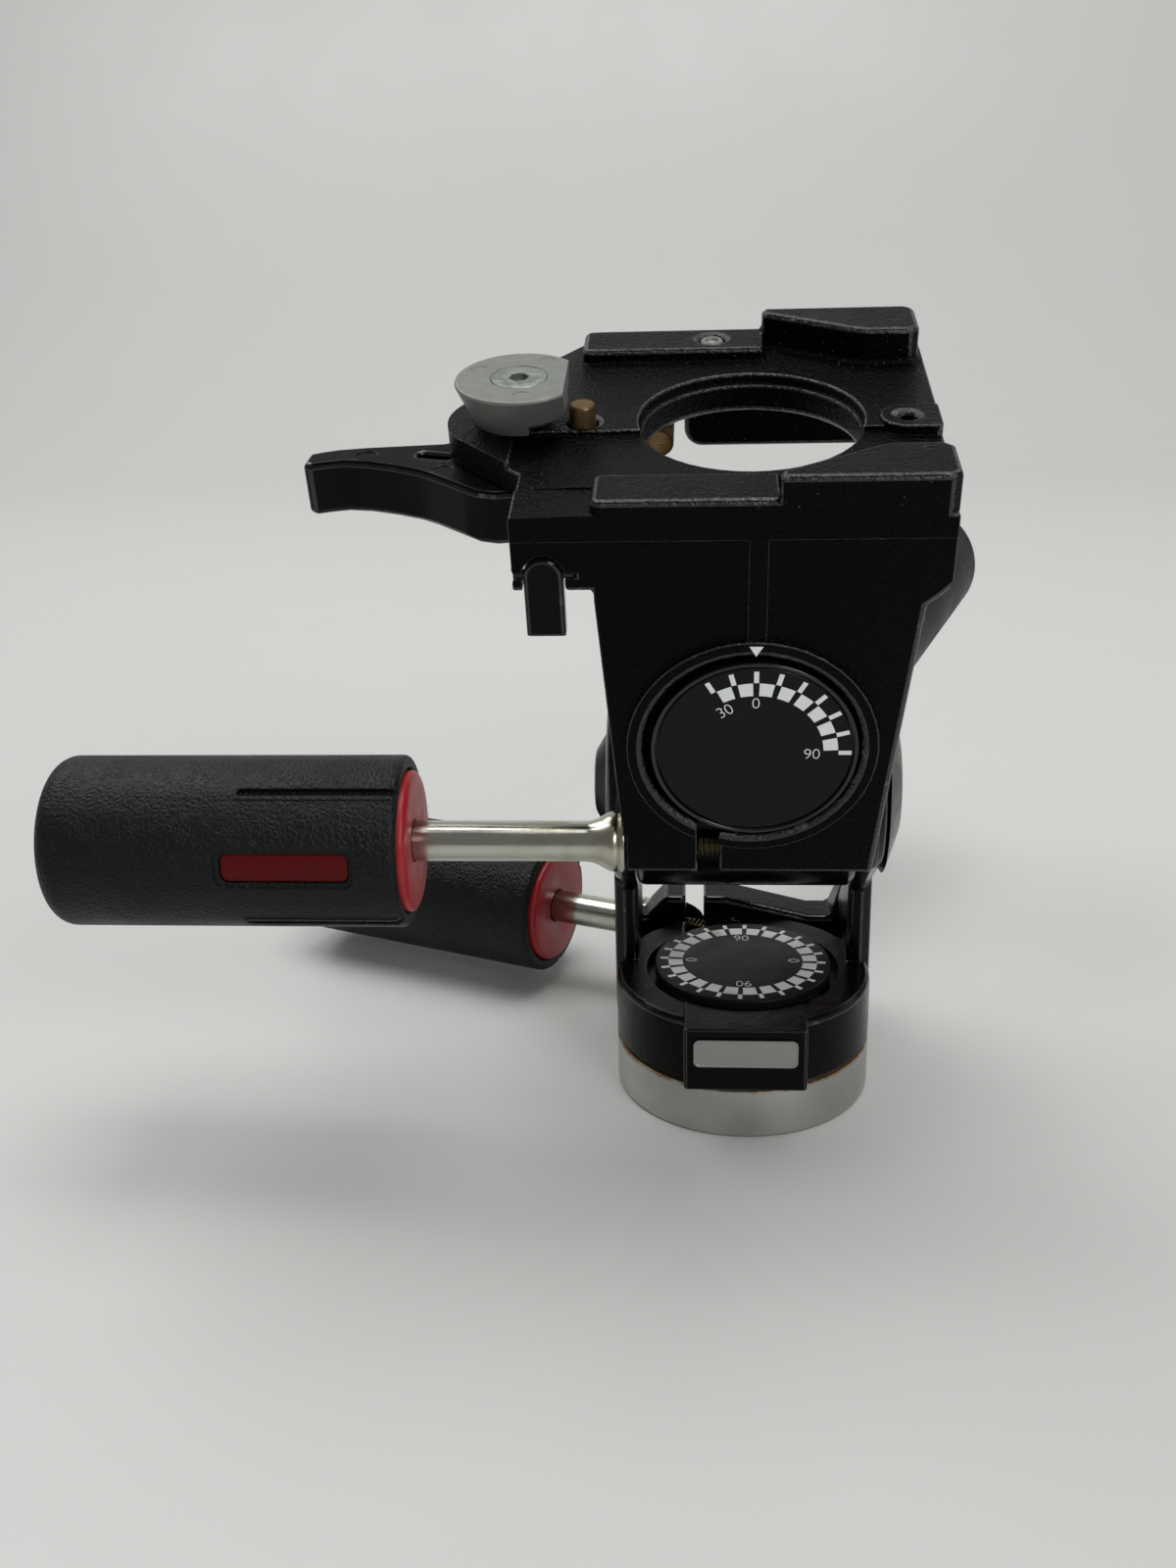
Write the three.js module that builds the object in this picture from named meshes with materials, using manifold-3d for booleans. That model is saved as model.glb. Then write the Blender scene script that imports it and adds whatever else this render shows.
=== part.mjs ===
// Three way pan tilt head, built from its separate pieces.
// Millimetres, +Z up. The front, with the two dials, faces -Y.
import * as THREE from "three";
import { mergeVertices } from "three/addons/utils/BufferGeometryUtils.js";
import Module from "manifold-3d";

const wasm = await Module();
wasm.setup();

// Fits shared by every piece
const gap = 0.3;
const overrun = 2;
const roundSteps = 44;
const gripSteps = 30;
const smallSteps = 16;
const curveSteps = 5;

// Base with its tripod socket, pan spindle and pan dial
const base = { radius: 30, height: 12, edge: 0.8, socketRadius: 4.76, socketDepth: 8 };
const washer = { inset: 2.5, thickness: 0.7 };
const spindle = { radius: 10, flangeRadius: 19.5, flangeThickness: 1.2 };
const panDial = { radius: 20.9, thickness: 2.2, edge: 0.4 };

// Pan housing: a round casting with two upright arms and a split clamp behind
const housing = { height: 15, grooveRadius: 22.9, floorDepth: 2.4, edge: 1 };
const pad = { halfWidth: 13.7, reach: 1.8, lift: 0.2, chamfer: 0.6 };
const plate = { halfWidth: 11.5, height: 6.6, thickness: 0.6, corner: 1.3, drop: 2.1 };
const arm = {
  overhang: 0.5,
  thickness: 5.75,
  front: 2.5,
  backInset: 1,
  radius: 23.6,
  chamfer: 2.4,
  neckTop: 48,
};
const panClamp = { reach: 9, depth: 11.5, slitX: -11.5, slitWidth: 4.6, screwY: 34, screwDrop: 6.5 };
const panClampTop = {
  leftFoot: -23.6,
  leftPeak: -18.9,
  rightPeak: -3.8,
  rightFoot: 17.2,
  peakLift: 5.6,
  footLift: 0.4,
};
const notch = { radius: 1.7, x: -1.4, depth: 1.2 };

// Front tilt axis, carried by the arms
const tilt = { height: 75.5, angle: 16.54 };
const tiltAxle = { radius: 13, boreRadius: 8.5 };
const leftCap = { radius: 12, faceRadius: 6.7, thickness: 3.1, plugRadius: 6.7 };
const rightCap = { radius: 21.5, faceRadius: 12.3, thickness: 3.4, plugRadius: 8 };

// Middle casting: a ring round the front tilt axle and a barrel for the side tilt spindle
const ring = { radius: 23.9, side: 0.45, edge: 1.2 };
const barrel = { radius: 20, back: 21, height: 37.5, neckHalfWidth: 17, neckHalfDepth: 17 };
const sideSpindle = { radius: 16.5, back: 15 };
const sideDial = { bezelRadius: 20.8, labelRadius: 18.9, seat: 2.9, thickness: 2.6, labelThickness: 0.5 };

// Platform casting: the clamp block round the spindle and the camera plate's seat
const seat = { height: 87.35, thickness: 8, front: -41, back: 41.8, right: 36.5 };
const hole = { radius: 22, y: 1.65, lip: 0.8, lipDepth: 2.4, chamfer: 0.5 };
const nearFloor = { drop: 1.2, from: -3.6 };
const rail = { height: 3, width: 11.6, left: -29.3, farLeft: -34.8, right: 35.2, corner: 1.8, chamfer: 0.7 };
const wedge = { height: 7.35, nearTipX: 4, farTipX: 3.2, tipWidth: 3, cornerX: 22.6, width: 14, chamfer: 0.7 };
const block = {
  thickness: 15.4,
  bottom: 5.95,
  bottomHalf: 25,
  topLeft: 29.3,
  topRight: 31,
  shoulderDrop: 18.85,
};
const shoulder = { width: 4.4, rise: 4, leftRise: 1.8 };
const boss = { radius: 24.4, lift: 0.5 };
const frontPanel = { drop: 4.85, depth: 0.4 };
const indexRib = { left: -1.3, right: 2.3 };
const blockSlit = { x: -8.3, width: 4.6 };
const nose = { x: -45.3, y: 2.5, radius: 14.8, thickness: 5.65 };
const leftWing = { left: -44, cornerY: -20.4, thickness: 3.2, skirtDrop: 15, skirtThickness: 3 };
const farSkirt = { left: -13.5, right: 31, drop: 23, thickness: 3, corner: 4 };
const railScrew = { radius: 2.4, x: -7.5, depth: 5 };
const plateBoss = { radius: 3.4, holeRadius: 1.9, x: 30, y: -0.8, lift: 1, halfWidth: 5.2 };

// Quick release: lever, locking dog, its screw, the release pin and the return spring
const lever = { height: 11.2, reach: 43.9, hubRadius: 9.5, chamfer: 0.8, curveSteps: 2 };
// Points along the lever's front and back edges, as shares of its reach from the middle of the hub
const leverFront = [
  [0.102, -0.444],
  [-0.125, -0.476],
  [-0.305, -0.351],
  [-0.483, -0.226],
  [-0.777, -0.13],
  [-0.966, -0.166],
];
const leverBack = [
  [-1, -0.141],
  [-0.993, -0.055],
  [-0.97, -0.027],
  [-0.804, 0.023],
  [-0.378, 0.059],
];
const leverSlot = { x: -17.6, y: -3.4, halfLength: 3.6, radius: 1.2, depth: 2.2, turn: -12 };
const leverTail = { width: 6, thickness: 4, bend: 17, padWidth: 5.6, padThickness: 2.4 };
const dog = {
  radius: 12.7,
  footRadius: 9.4,
  height: 8.4,
  flat: 9.2,
  hubRadius: 6.5,
  step: 2.2,
  edge: 0.5,
  shaftRadius: 4,
};
const dogScrew = { headRadius: 5.5, headHeight: 2.6, shankRadius: 2.5, socketRadius: 1.95, socketDepth: 1.6 };
const dogRelief = { from: -30, to: 66 };
const releasePin = { radius: 2.6, lift: 4.7, x: -33, y: 0.5, edge: 0.4, tail: 0.6 };
const catchTab = { halfWidth: 3.6, thickness: 3.4, length: 16.1, x: -38.3, top: 8.2, chamfer: 0.5 };
const crossPin = { radius: 0.9, reach: 1.6 };
const spring = { radius: 2.25, wire: 0.35, x: -19.5, front: 15, back: 34, curls: 10, drop: 3.2 };
const springPost = { radius: 1.2, width: 6 };

// Lock handles: one screw, rod and grip, used three times with rods of different length
const handle = { screwRadius: 3, rodRadius: 4.25, collarRadius: 6.5, collar: 3.2, flare: 4.6, tailInGrip: 58 };
const grip = { radius: 18, length: 73, round: 5, wall: 2.4, slotWidth: 2.2, slotLength: 31, slotDepth: 1.1 };
const cap = { radius: 14.8, lip: 3.2, inset: 3 };
const redWindow = { halfWidth: 2.9, length: 26, start: 8, depth: 1.2, corner: 1.4 };
const slotAngles = [-48.5, 52];
const sideLock = { rod: 44, depth: 5, rise: 4.85, screw: 33, windowAngle: 198.7 };
const panLock = { rod: 27.5, angle: 21.8, seat: 12, screw: 23, bossRadius: 7.4, windowAngle: 30 };
const tiltLock = {
  rod: 44,
  x: 11.9,
  y: 32.3,
  z: -3.2,
  turn: 67.8,
  dip: 8.2,
  screw: 14,
  bossRadius: 8.2,
  windowAngle: 110,
};
const shoe = { radius: 3.9, length: 9 };

const deg = Math.PI / 180;
const axisX = new THREE.Vector3(1, 0, 0);
const axisY = new THREE.Vector3(0, 1, 0);
const axisZ = new THREE.Vector3(0, 0, 1);

// Heights that follow from the sizes above
const washerTop = base.height + gap + washer.thickness;
const housingBottom = washerTop + gap;
const floor = housingBottom + housing.height;
const grooveFloor = floor - housing.floorDepth;
const flangeTop = grooveFloor + gap + spindle.flangeThickness;
const armOuter = base.radius + arm.overhang;
const armInner = armOuter - arm.thickness;
const armBack = base.radius - arm.backInset;
const padFront = -base.radius - pad.reach;
const panClampBack = base.radius + panClamp.reach;
const panClampFront = panClampBack - panClamp.depth;
const shoulderZ = seat.height - block.shoulderDrop;
const panelTop = seat.height - frontPanel.drop;
const blockBack = seat.front + block.thickness;
const plateBottom = seat.height - seat.thickness;
const noseBottom = seat.height - nose.thickness;
const leverTop = noseBottom - gap;
const leverBottom = leverTop - lever.height;
const catchPivotZ = seat.height - catchTab.top - catchTab.halfWidth;
const crossPinY = seat.front + leftWing.skirtThickness / 2;
const sideScrewY = seat.front + sideLock.depth;
const sideScrewZ = block.bottom + sideLock.rise;
const panScrewZ = floor - panClamp.screwDrop;

const looks = {
  black: { color: 0x1b1c1d, roughness: 0.45, metalness: 0.3 },
  castBlack: { color: 0x202122, roughness: 0.6, metalness: 0.3 },
  aluminium: { color: 0xb9bab6, roughness: 0.35, metalness: 1 },
  steel: { color: 0xb8b6ae, roughness: 0.25, metalness: 1 },
  zinc: { color: 0x9b9d98, roughness: 0.5, metalness: 0.8 },
  brass: { color: 0x9a7b45, roughness: 0.4, metalness: 1 },
  rubber: { color: 0x1c1c1d, roughness: 0.85, metalness: 0 },
  red: { color: 0xa8121b, roughness: 0.45, metalness: 0 },
  dial: { color: 0x232425, roughness: 0.5, metalness: 0 },
  silver: { color: 0xc4c4c0, roughness: 0.4, metalness: 1 },
  rust: { color: 0x7a5230, roughness: 0.8, metalness: 0.3 },
};

// Solids: a closed three.js geometry becomes a manifold solid that can be joined and cut
function solidOf(geometry) {
  const bare = geometry.index ? geometry.toNonIndexed() : geometry.clone();
  bare.deleteAttribute("normal");
  bare.deleteAttribute("uv");
  const merged = mergeVertices(bare, 1e-4);
  return new wasm.Manifold(
    new wasm.Mesh({
      numProp: 3,
      vertProperties: merged.attributes.position.array,
      triVerts: new Uint32Array(merged.index.array),
    }),
  );
}

function geometryOf(solid) {
  const made = solid.getMesh();
  const geometry = new THREE.BufferGeometry();
  geometry.setAttribute("position", new THREE.BufferAttribute(made.vertProperties, 3));
  geometry.setIndex(new THREE.BufferAttribute(made.triVerts, 1));
  const flat = geometry.toNonIndexed();
  flat.computeVertexNormals();
  return flat;
}

function piece(group, name, solid, look) {
  const mesh = new THREE.Mesh(geometryOf(solid), new THREE.MeshStandardMaterial(looks[look]));
  mesh.name = name;
  group.add(mesh);
  return mesh;
}

const join = (first, ...rest) => rest.reduce((all, next) => all.add(next), first);
const cut = (first, ...rest) => rest.reduce((all, next) => all.subtract(next), first);

// A box between two corners
function box(x0, x1, y0, y1, z0, z1) {
  const geometry = new THREE.BoxGeometry(x1 - x0, y1 - y0, z1 - z0);
  geometry.translate((x0 + x1) / 2, (y0 + y1) / 2, (z0 + z1) / 2);
  return solidOf(geometry);
}

// Turns the Y axis of a lathe or cylinder onto another axis
function lay(geometry, axis) {
  if (axis === "x") geometry.rotateZ(-90 * deg);
  if (axis === "z") geometry.rotateX(90 * deg);
  return geometry;
}

// A turned piece: its profile holds [radius, place along the axis] pairs and starts and ends on the axis
function turned(axis, profile, steps = roundSteps) {
  const area = profile.reduce((sum, [r, h], i) => {
    const [nextR, nextH] = profile[(i + 1) % profile.length];
    return sum + r * nextH - nextR * h;
  }, 0);
  const ordered = area > 0 ? profile : [...profile].reverse();
  const points = ordered.map(([r, h]) => new THREE.Vector2(r, h));
  if (ordered[0][0] > 0) points.push(points[0].clone());
  return solidOf(lay(new THREE.LatheGeometry(points, steps), axis));
}

// A plain cylinder from one place along its axis to another, centred on the other two places
function cylinder(axis, radius, from, to, a = 0, b = 0, steps = roundSteps) {
  const geometry = lay(new THREE.CylinderGeometry(radius, radius, to - from, steps), axis);
  const middle = (from + to) / 2;
  if (axis === "x") geometry.translate(middle, a, b);
  if (axis === "y") geometry.translate(a, middle, b);
  if (axis === "z") geometry.translate(a, b, middle);
  return solidOf(geometry);
}

// An outline drawn in two of the axes and extruded along the third
const outlineBasis = {
  x: new THREE.Matrix4().makeBasis(axisY, axisZ, axisX),
  y: new THREE.Matrix4().makeBasis(axisX, axisZ, axisY.clone().negate()),
  z: new THREE.Matrix4().makeBasis(axisX, axisY, axisZ),
};

function extruded(axis, shape, from, to, options = {}) {
  const { chamfer = 0, curveSegments = smallSteps } = options;
  const geometry = new THREE.ExtrudeGeometry(shape, {
    depth: to - from - 2 * chamfer,
    curveSegments,
    bevelEnabled: chamfer > 0,
    bevelThickness: chamfer,
    bevelSize: chamfer,
    bevelOffset: -chamfer,
    bevelSegments: 1,
  });
  geometry.translate(0, 0, chamfer);
  geometry.applyMatrix4(outlineBasis[axis]);
  const shift = axis === "y" ? [0, to, 0] : axis === "x" ? [from, 0, 0] : [0, 0, from];
  geometry.translate(...shift);
  return solidOf(geometry);
}

function outline(points) {
  return new THREE.Shape(points.map(([a, b]) => new THREE.Vector2(a, b)));
}

function roundedRectangle(x0, x1, y0, y1, r) {
  const shape = new THREE.Shape();
  shape.moveTo(x0 + r, y0);
  shape.lineTo(x1 - r, y0);
  shape.absarc(x1 - r, y0 + r, r, -90 * deg, 0);
  shape.absarc(x1 - r, y1 - r, r, 0, 90 * deg);
  shape.absarc(x0 + r, y1 - r, r, 90 * deg, 180 * deg);
  shape.absarc(x0 + r, y0 + r, r, 180 * deg, 270 * deg);
  return shape;
}

// Moves a solid as a group at this place and turn would
function placed(solid, position, turn = new THREE.Euler()) {
  const matrix = new THREE.Matrix4().makeRotationFromEuler(turn).setPosition(...position);
  return solidOf(geometryOf(solid).applyMatrix4(matrix));
}

// Base ring with the tripod socket below and the spindle's pocket above
function baseRing() {
  const body = turned("z", [
    [0, 0],
    [base.radius - base.edge, 0],
    [base.radius, base.edge],
    [base.radius, base.height - base.edge],
    [base.radius - base.edge, base.height],
    [0, base.height],
  ]);
  const socket = cylinder("z", base.socketRadius, -overrun, base.socketDepth + overrun, 0, 0);
  const pocket = cylinder("z", spindle.radius + gap, base.socketDepth, base.height + overrun);
  return cut(body, socket, pocket);
}

function panWasher() {
  return turned("z", [
    [spindle.radius + gap, base.height + gap],
    [base.radius - washer.inset, base.height + gap],
    [base.radius - washer.inset, washerTop],
    [spindle.radius + gap, washerTop],
  ]);
}

function panSpindle() {
  return turned("z", [
    [0, base.socketDepth + gap],
    [spindle.radius, base.socketDepth + gap],
    [spindle.radius, grooveFloor + gap],
    [spindle.flangeRadius, grooveFloor + gap],
    [spindle.flangeRadius, flangeTop],
    [0, flangeTop],
  ]);
}

function panDialDisc() {
  const bottom = flangeTop + gap;
  const top = bottom + panDial.thickness;
  return turned("z", [
    [0, bottom],
    [panDial.radius, bottom],
    [panDial.radius, top - panDial.edge],
    [panDial.radius - panDial.edge, top],
    [0, top],
  ]);
}

// The two uprights: a leaning neck that ends in a disc round the tilt axle
function uprightArm(side) {
  const shape = new THREE.Shape();
  shape.moveTo(armBack, housingBottom);
  shape.lineTo(armBack, tilt.height - arm.radius);
  shape.lineTo(arm.radius, tilt.height);
  shape.absarc(0, tilt.height, arm.radius, 0, 215 * deg);
  shape.lineTo(arm.front, arm.neckTop);
  shape.lineTo(arm.front, housingBottom);
  const whole = extruded("x", shape, -armOuter, armOuter, { chamfer: arm.chamfer });
  const reach = armOuter + overrun;
  const inner = side < 0 ? [-armInner, reach] : [-reach, armInner];
  const kept = box(...inner, -reach, reach, 0, tilt.height + reach);
  const bore = cylinder("x", tiltAxle.radius + gap, -reach, reach, 0, tilt.height);
  return cut(whole, kept, bore);
}

// The clamp behind: two lugs with sloping tops, split by a slit that the pan lock closes
function panClampBlock() {
  const shape = outline([
    [-armInner - overrun, housingBottom],
    [armInner + overrun, housingBottom],
    [armInner + overrun, floor + panClampTop.peakLift],
    [armInner, floor + panClampTop.peakLift],
    [armInner - overrun, floor + panClampTop.footLift],
    [panClampTop.rightFoot, floor + panClampTop.footLift],
    [panClampTop.rightPeak, floor + panClampTop.peakLift],
    [panClampTop.leftPeak, floor + panClampTop.peakLift],
    [panClampTop.leftFoot, floor + panClampTop.footLift],
    [-armInner - overrun, floor + panClampTop.footLift],
  ]);
  const back = extruded("y", shape, panClampFront, panClampBack, { chamfer: housing.edge });
  const sides = armInner + arm.thickness - arm.chamfer;
  const kept = box(-sides, sides, 0, panClampBack, 0, floor + panClampTop.peakLift);
  return back.intersect(kept);
}

const panLockPlace = {
  position: [panClamp.slitX, panClamp.screwY, panScrewZ],
  turn: new THREE.Euler(0, 0, 180 * deg - panLock.angle * deg),
};

function panHousing() {
  const round = turned("z", [
    [0, housingBottom],
    [base.radius, housingBottom],
    [base.radius, floor - housing.edge],
    [base.radius - housing.edge, floor],
    [0, floor],
  ]);
  const padShape = outline([
    [-pad.halfWidth, 0],
    [-pad.halfWidth, padFront + pad.chamfer],
    [-pad.halfWidth + pad.chamfer, padFront],
    [pad.halfWidth - pad.chamfer, padFront],
    [pad.halfWidth, padFront + pad.chamfer],
    [pad.halfWidth, 0],
  ]);
  const front = extruded("z", padShape, housingBottom, floor + pad.lift, { chamfer: pad.chamfer / 2 });
  const lockBoss = placed(
    cylinder("x", panLock.bossRadius, -panLock.seat, panLock.seat, 0, 0, gripSteps),
    panLockPlace.position,
    panLockPlace.turn,
  );
  const whole = join(round, front, panClampBlock(), lockBoss, uprightArm(-1), uprightArm(1));

  const groove = cylinder("z", housing.grooveRadius, grooveFloor, floor + overrun);
  const bore = cylinder("z", spindle.radius + gap, 0, floor + overrun);
  const slit = box(
    panClamp.slitX - panClamp.slitWidth / 2,
    panClamp.slitX + panClamp.slitWidth / 2,
    spindle.radius / 2,
    panClampBack + overrun,
    0,
    floor + panClampTop.peakLift + overrun,
  );
  const screwHole = placed(
    cylinder(
      "x",
      handle.screwRadius + gap,
      panLock.seat - panLock.screw - gap,
      panLock.seat + overrun,
      0,
      0,
      smallSteps,
    ),
    panLockPlace.position,
    panLockPlace.turn,
  );
  const collarRoom = placed(
    cylinder("x", handle.collarRadius + overrun, panLock.seat, panLock.seat + panLock.rod, 0, 0, gripSteps),
    panLockPlace.position,
    panLockPlace.turn,
  );
  const indexY = housing.grooveRadius + notch.depth;
  const index = cylinder("z", notch.radius, grooveFloor, floor + overrun, notch.x, indexY, smallSteps);
  return cut(whole, groove, bore, slit, screwHole, collarRoom, index);
}

function namePlate() {
  const top = floor - plate.drop;
  const shape = roundedRectangle(-plate.halfWidth, plate.halfWidth, top - plate.height, top, plate.corner);
  const back = padFront - gap;
  return extruded("y", shape, back - plate.thickness, back, { curveSegments: curveSteps });
}

function tiltAxlePiece() {
  const end = armOuter - arm.chamfer / 2;
  return cut(
    cylinder("x", tiltAxle.radius, -end, end),
    cylinder("x", tiltAxle.boreRadius, -end - overrun, end + overrun),
  );
}

function endCap(size, side) {
  const inner = armOuter + gap;
  const profile = [
    [0, armOuter - arm.chamfer / 2 + gap],
    [size.plugRadius, armOuter - arm.chamfer / 2 + gap],
    [size.plugRadius, inner],
    [size.radius, inner],
    [size.faceRadius, inner + size.thickness],
    [0, inner + size.thickness],
  ];
  return turned("x", profile.map(([r, h]) => [r, side * h]));
}

// Middle casting, in the frame of the front tilt axis
const tiltLockPlace = {
  position: [tiltLock.x, tiltLock.y, tiltLock.z],
  turn: new THREE.Euler(0, tiltLock.dip * deg, tiltLock.turn * deg, "ZYX"),
};

function tiltBody() {
  const half = armInner - ring.side;
  const round = turned("x", [
    [0, -half],
    [ring.radius - ring.edge, -half],
    [ring.radius, -half + ring.edge],
    [ring.radius, half - ring.edge],
    [ring.radius - ring.edge, half],
    [0, half],
  ]);
  const front = blockBack + gap;
  const tube = turned("y", [
    [0, front],
    [barrel.radius, front],
    [barrel.radius, barrel.back - ring.edge],
    [barrel.radius - ring.edge, barrel.back],
    [0, barrel.back],
  ]);
  const neck = box(
    -barrel.neckHalfWidth,
    barrel.neckHalfWidth,
    -barrel.neckHalfDepth,
    barrel.neckHalfDepth,
    0,
    barrel.height,
  );
  const lockBoss = placed(
    cylinder("x", tiltLock.bossRadius, -tiltLock.y / 2, 0, 0, 0, gripSteps),
    tiltLockPlace.position,
    tiltLockPlace.turn,
  );
  const raised = placed(tube, [0, 0, barrel.height]);
  const bore = cylinder("x", tiltAxle.radius + gap, -half - overrun, half + overrun);
  const spindleBore = cylinder(
    "y",
    sideSpindle.radius + gap,
    front - overrun,
    sideSpindle.back + gap,
    0,
    barrel.height,
  );
  const lockBore = placed(
    cylinder("x", shoe.radius + gap, -tiltLock.screw - shoe.length, overrun, 0, 0, smallSteps),
    tiltLockPlace.position,
    tiltLockPlace.turn,
  );
  return cut(join(round, raised, neck, lockBoss), bore, spindleBore, lockBore);
}

function brakeShoe() {
  const end = -tiltLock.screw - gap;
  const rod = placed(
    cylinder("x", shoe.radius, end - shoe.length, end, 0, 0, smallSteps),
    tiltLockPlace.position,
    tiltLockPlace.turn,
  );
  const axleRoom = cylinder("x", tiltAxle.radius + gap, -armInner, armInner);
  return cut(rod, axleRoom);
}

function sideSpindlePiece() {
  const front = seat.front + sideDial.seat + gap;
  return cylinder("y", sideSpindle.radius, front, sideSpindle.back, 0, barrel.height);
}

function sideDialCap() {
  const back = seat.front + sideDial.seat;
  const face = back - sideDial.thickness;
  const inset = face + sideDial.labelThickness;
  const whole = cylinder("y", sideDial.bezelRadius, face, back, 0, barrel.height);
  const room = cylinder("y", sideDial.labelRadius + gap, face - overrun, inset, 0, barrel.height);
  return cut(whole, room);
}

function sideDialLabel() {
  const face = seat.front + sideDial.seat - sideDial.thickness + sideDial.labelThickness - gap;
  return cylinder("y", sideDial.labelRadius, face - sideDial.labelThickness, face, 0, barrel.height);
}

// Angle at which a line from a point touches the nose's arc; side is 1 behind and -1 in front
function touchAngle(x, y, side) {
  const toPoint = new THREE.Vector2(x - nose.x, y - nose.y);
  return toPoint.angle() + side * Math.acos(nose.radius / toPoint.length());
}

// Platform outline seen from above: a rectangle with a pointed wing on the left that ends in the nose
function platformOutline() {
  const shape = new THREE.Shape();
  shape.moveTo(leftWing.left, seat.front);
  shape.lineTo(seat.right, seat.front);
  shape.lineTo(seat.right, seat.back);
  shape.lineTo(rail.farLeft, seat.back);
  const behind = touchAngle(rail.farLeft, seat.back, 1);
  const before = touchAngle(leftWing.left, leftWing.cornerY, -1);
  shape.absarc(nose.x, nose.y, nose.radius, behind, before);
  shape.lineTo(leftWing.left, leftWing.cornerY);
  return shape;
}

// Clamp block: the front face's outline, narrow below and with a shoulder on the right
function blockOutline() {
  return outline([
    [-block.bottomHalf, block.bottom],
    [block.bottomHalf, block.bottom],
    [block.topRight, shoulderZ],
    [block.topRight + shoulder.width / 2, shoulderZ + shoulder.leftRise],
    [block.topRight + shoulder.width, shoulderZ + shoulder.rise],
    [block.topRight + shoulder.width, plateBottom + overrun],
    [-block.topLeft, plateBottom + overrun],
    [-block.topLeft, shoulderZ + shoulder.leftRise],
  ]);
}

// A raised wedge on a rail's right half: its inner edge slopes out to a corner, then runs straight
function wedgeOutline(side) {
  const outer = side < 0 ? seat.front : seat.back;
  const tipX = side < 0 ? wedge.nearTipX : wedge.farTipX;
  const inward = -side;
  return outline([
    [tipX, outer],
    [rail.right - rail.corner, outer],
    [rail.right, outer + inward * rail.corner],
    [rail.right, outer + inward * (wedge.width - rail.corner)],
    [rail.right - rail.corner, outer + inward * wedge.width],
    [wedge.cornerX + rail.corner, outer + inward * wedge.width],
    [wedge.cornerX - rail.corner / 2, outer + inward * (wedge.width - rail.corner / 2)],
    [tipX, outer + inward * wedge.tipWidth],
  ]);
}

// A straight rail with rounded corners; it runs a little way under its wedge
function railBlock(left, right, front, top) {
  const end = right + wedge.tipWidth;
  const shape = roundedRectangle(left, end, front, front + rail.width, rail.corner);
  const whole = extruded("z", shape, plateBottom, top, { chamfer: rail.chamfer, curveSegments: curveSteps });
  const back = front + rail.width;
  const beyond = box(right, end + overrun, front - overrun, back + overrun, seat.height, top + overrun);
  return cut(whole, beyond);
}

function platformCasting() {
  const deck = extruded("z", platformOutline(), noseBottom, seat.height);
  const under = box(-block.topLeft, seat.right, seat.front, seat.back, plateBottom, seat.height);
  const clamp = extruded("y", blockOutline(), seat.front, blockBack);
  const ridge = cylinder("y", boss.radius, seat.front - boss.lift, seat.front + overrun, 0, barrel.height);
  const railTop = seat.height + rail.height;
  const nearRail = railBlock(rail.left, wedge.nearTipX, seat.front, railTop);
  const farRail = railBlock(rail.farLeft, wedge.farTipX, seat.back - rail.width, railTop);
  const wedgeTop = seat.height + wedge.height;
  const nearWedge = extruded("z", wedgeOutline(-1), plateBottom, wedgeTop, { chamfer: wedge.chamfer });
  const farWedge = extruded("z", wedgeOutline(1), plateBottom, wedgeTop, { chamfer: wedge.chamfer });
  const skirtTop = noseBottom + overrun;
  const wing = box(
    leftWing.left,
    -block.topLeft + overrun,
    seat.front,
    seat.front + leftWing.skirtThickness,
    seat.height - leftWing.skirtDrop,
    skirtTop,
  );
  const rearShape = roundedRectangle(
    farSkirt.left,
    farSkirt.right,
    seat.height - farSkirt.drop,
    seat.height,
    farSkirt.corner,
  );
  const rearFront = seat.back - farSkirt.thickness;
  const rear = extruded("y", rearShape, rearFront, seat.back, { curveSegments: curveSteps });
  const ear = plateEar(seat.height + plateBoss.lift);
  const springAnchor = box(
    spring.x - springPost.width / 2,
    spring.x + springPost.width / 2,
    spring.back + gap,
    spring.back + gap + springPost.width / 2,
    plateBottom - spring.drop - spring.radius - spring.wire,
    plateBottom + overrun,
  );
  const top = join(deck, nearRail, farRail, nearWedge, farWedge, ear);
  const whole = join(top, under, clamp, ridge, wing, rear, springAnchor);
  return cut(whole, ...platformCuts());
}

// Small raised eye at the right end of the floor
function plateEar(top) {
  const front = plateBoss.y - plateBoss.halfWidth;
  const back = plateBoss.y + plateBoss.halfWidth;
  return join(
    box(plateBoss.x, seat.right, front, back, plateBottom, top),
    cylinder("z", plateBoss.halfWidth, plateBottom, top, plateBoss.x, plateBoss.y, gripSteps),
  );
}

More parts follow.
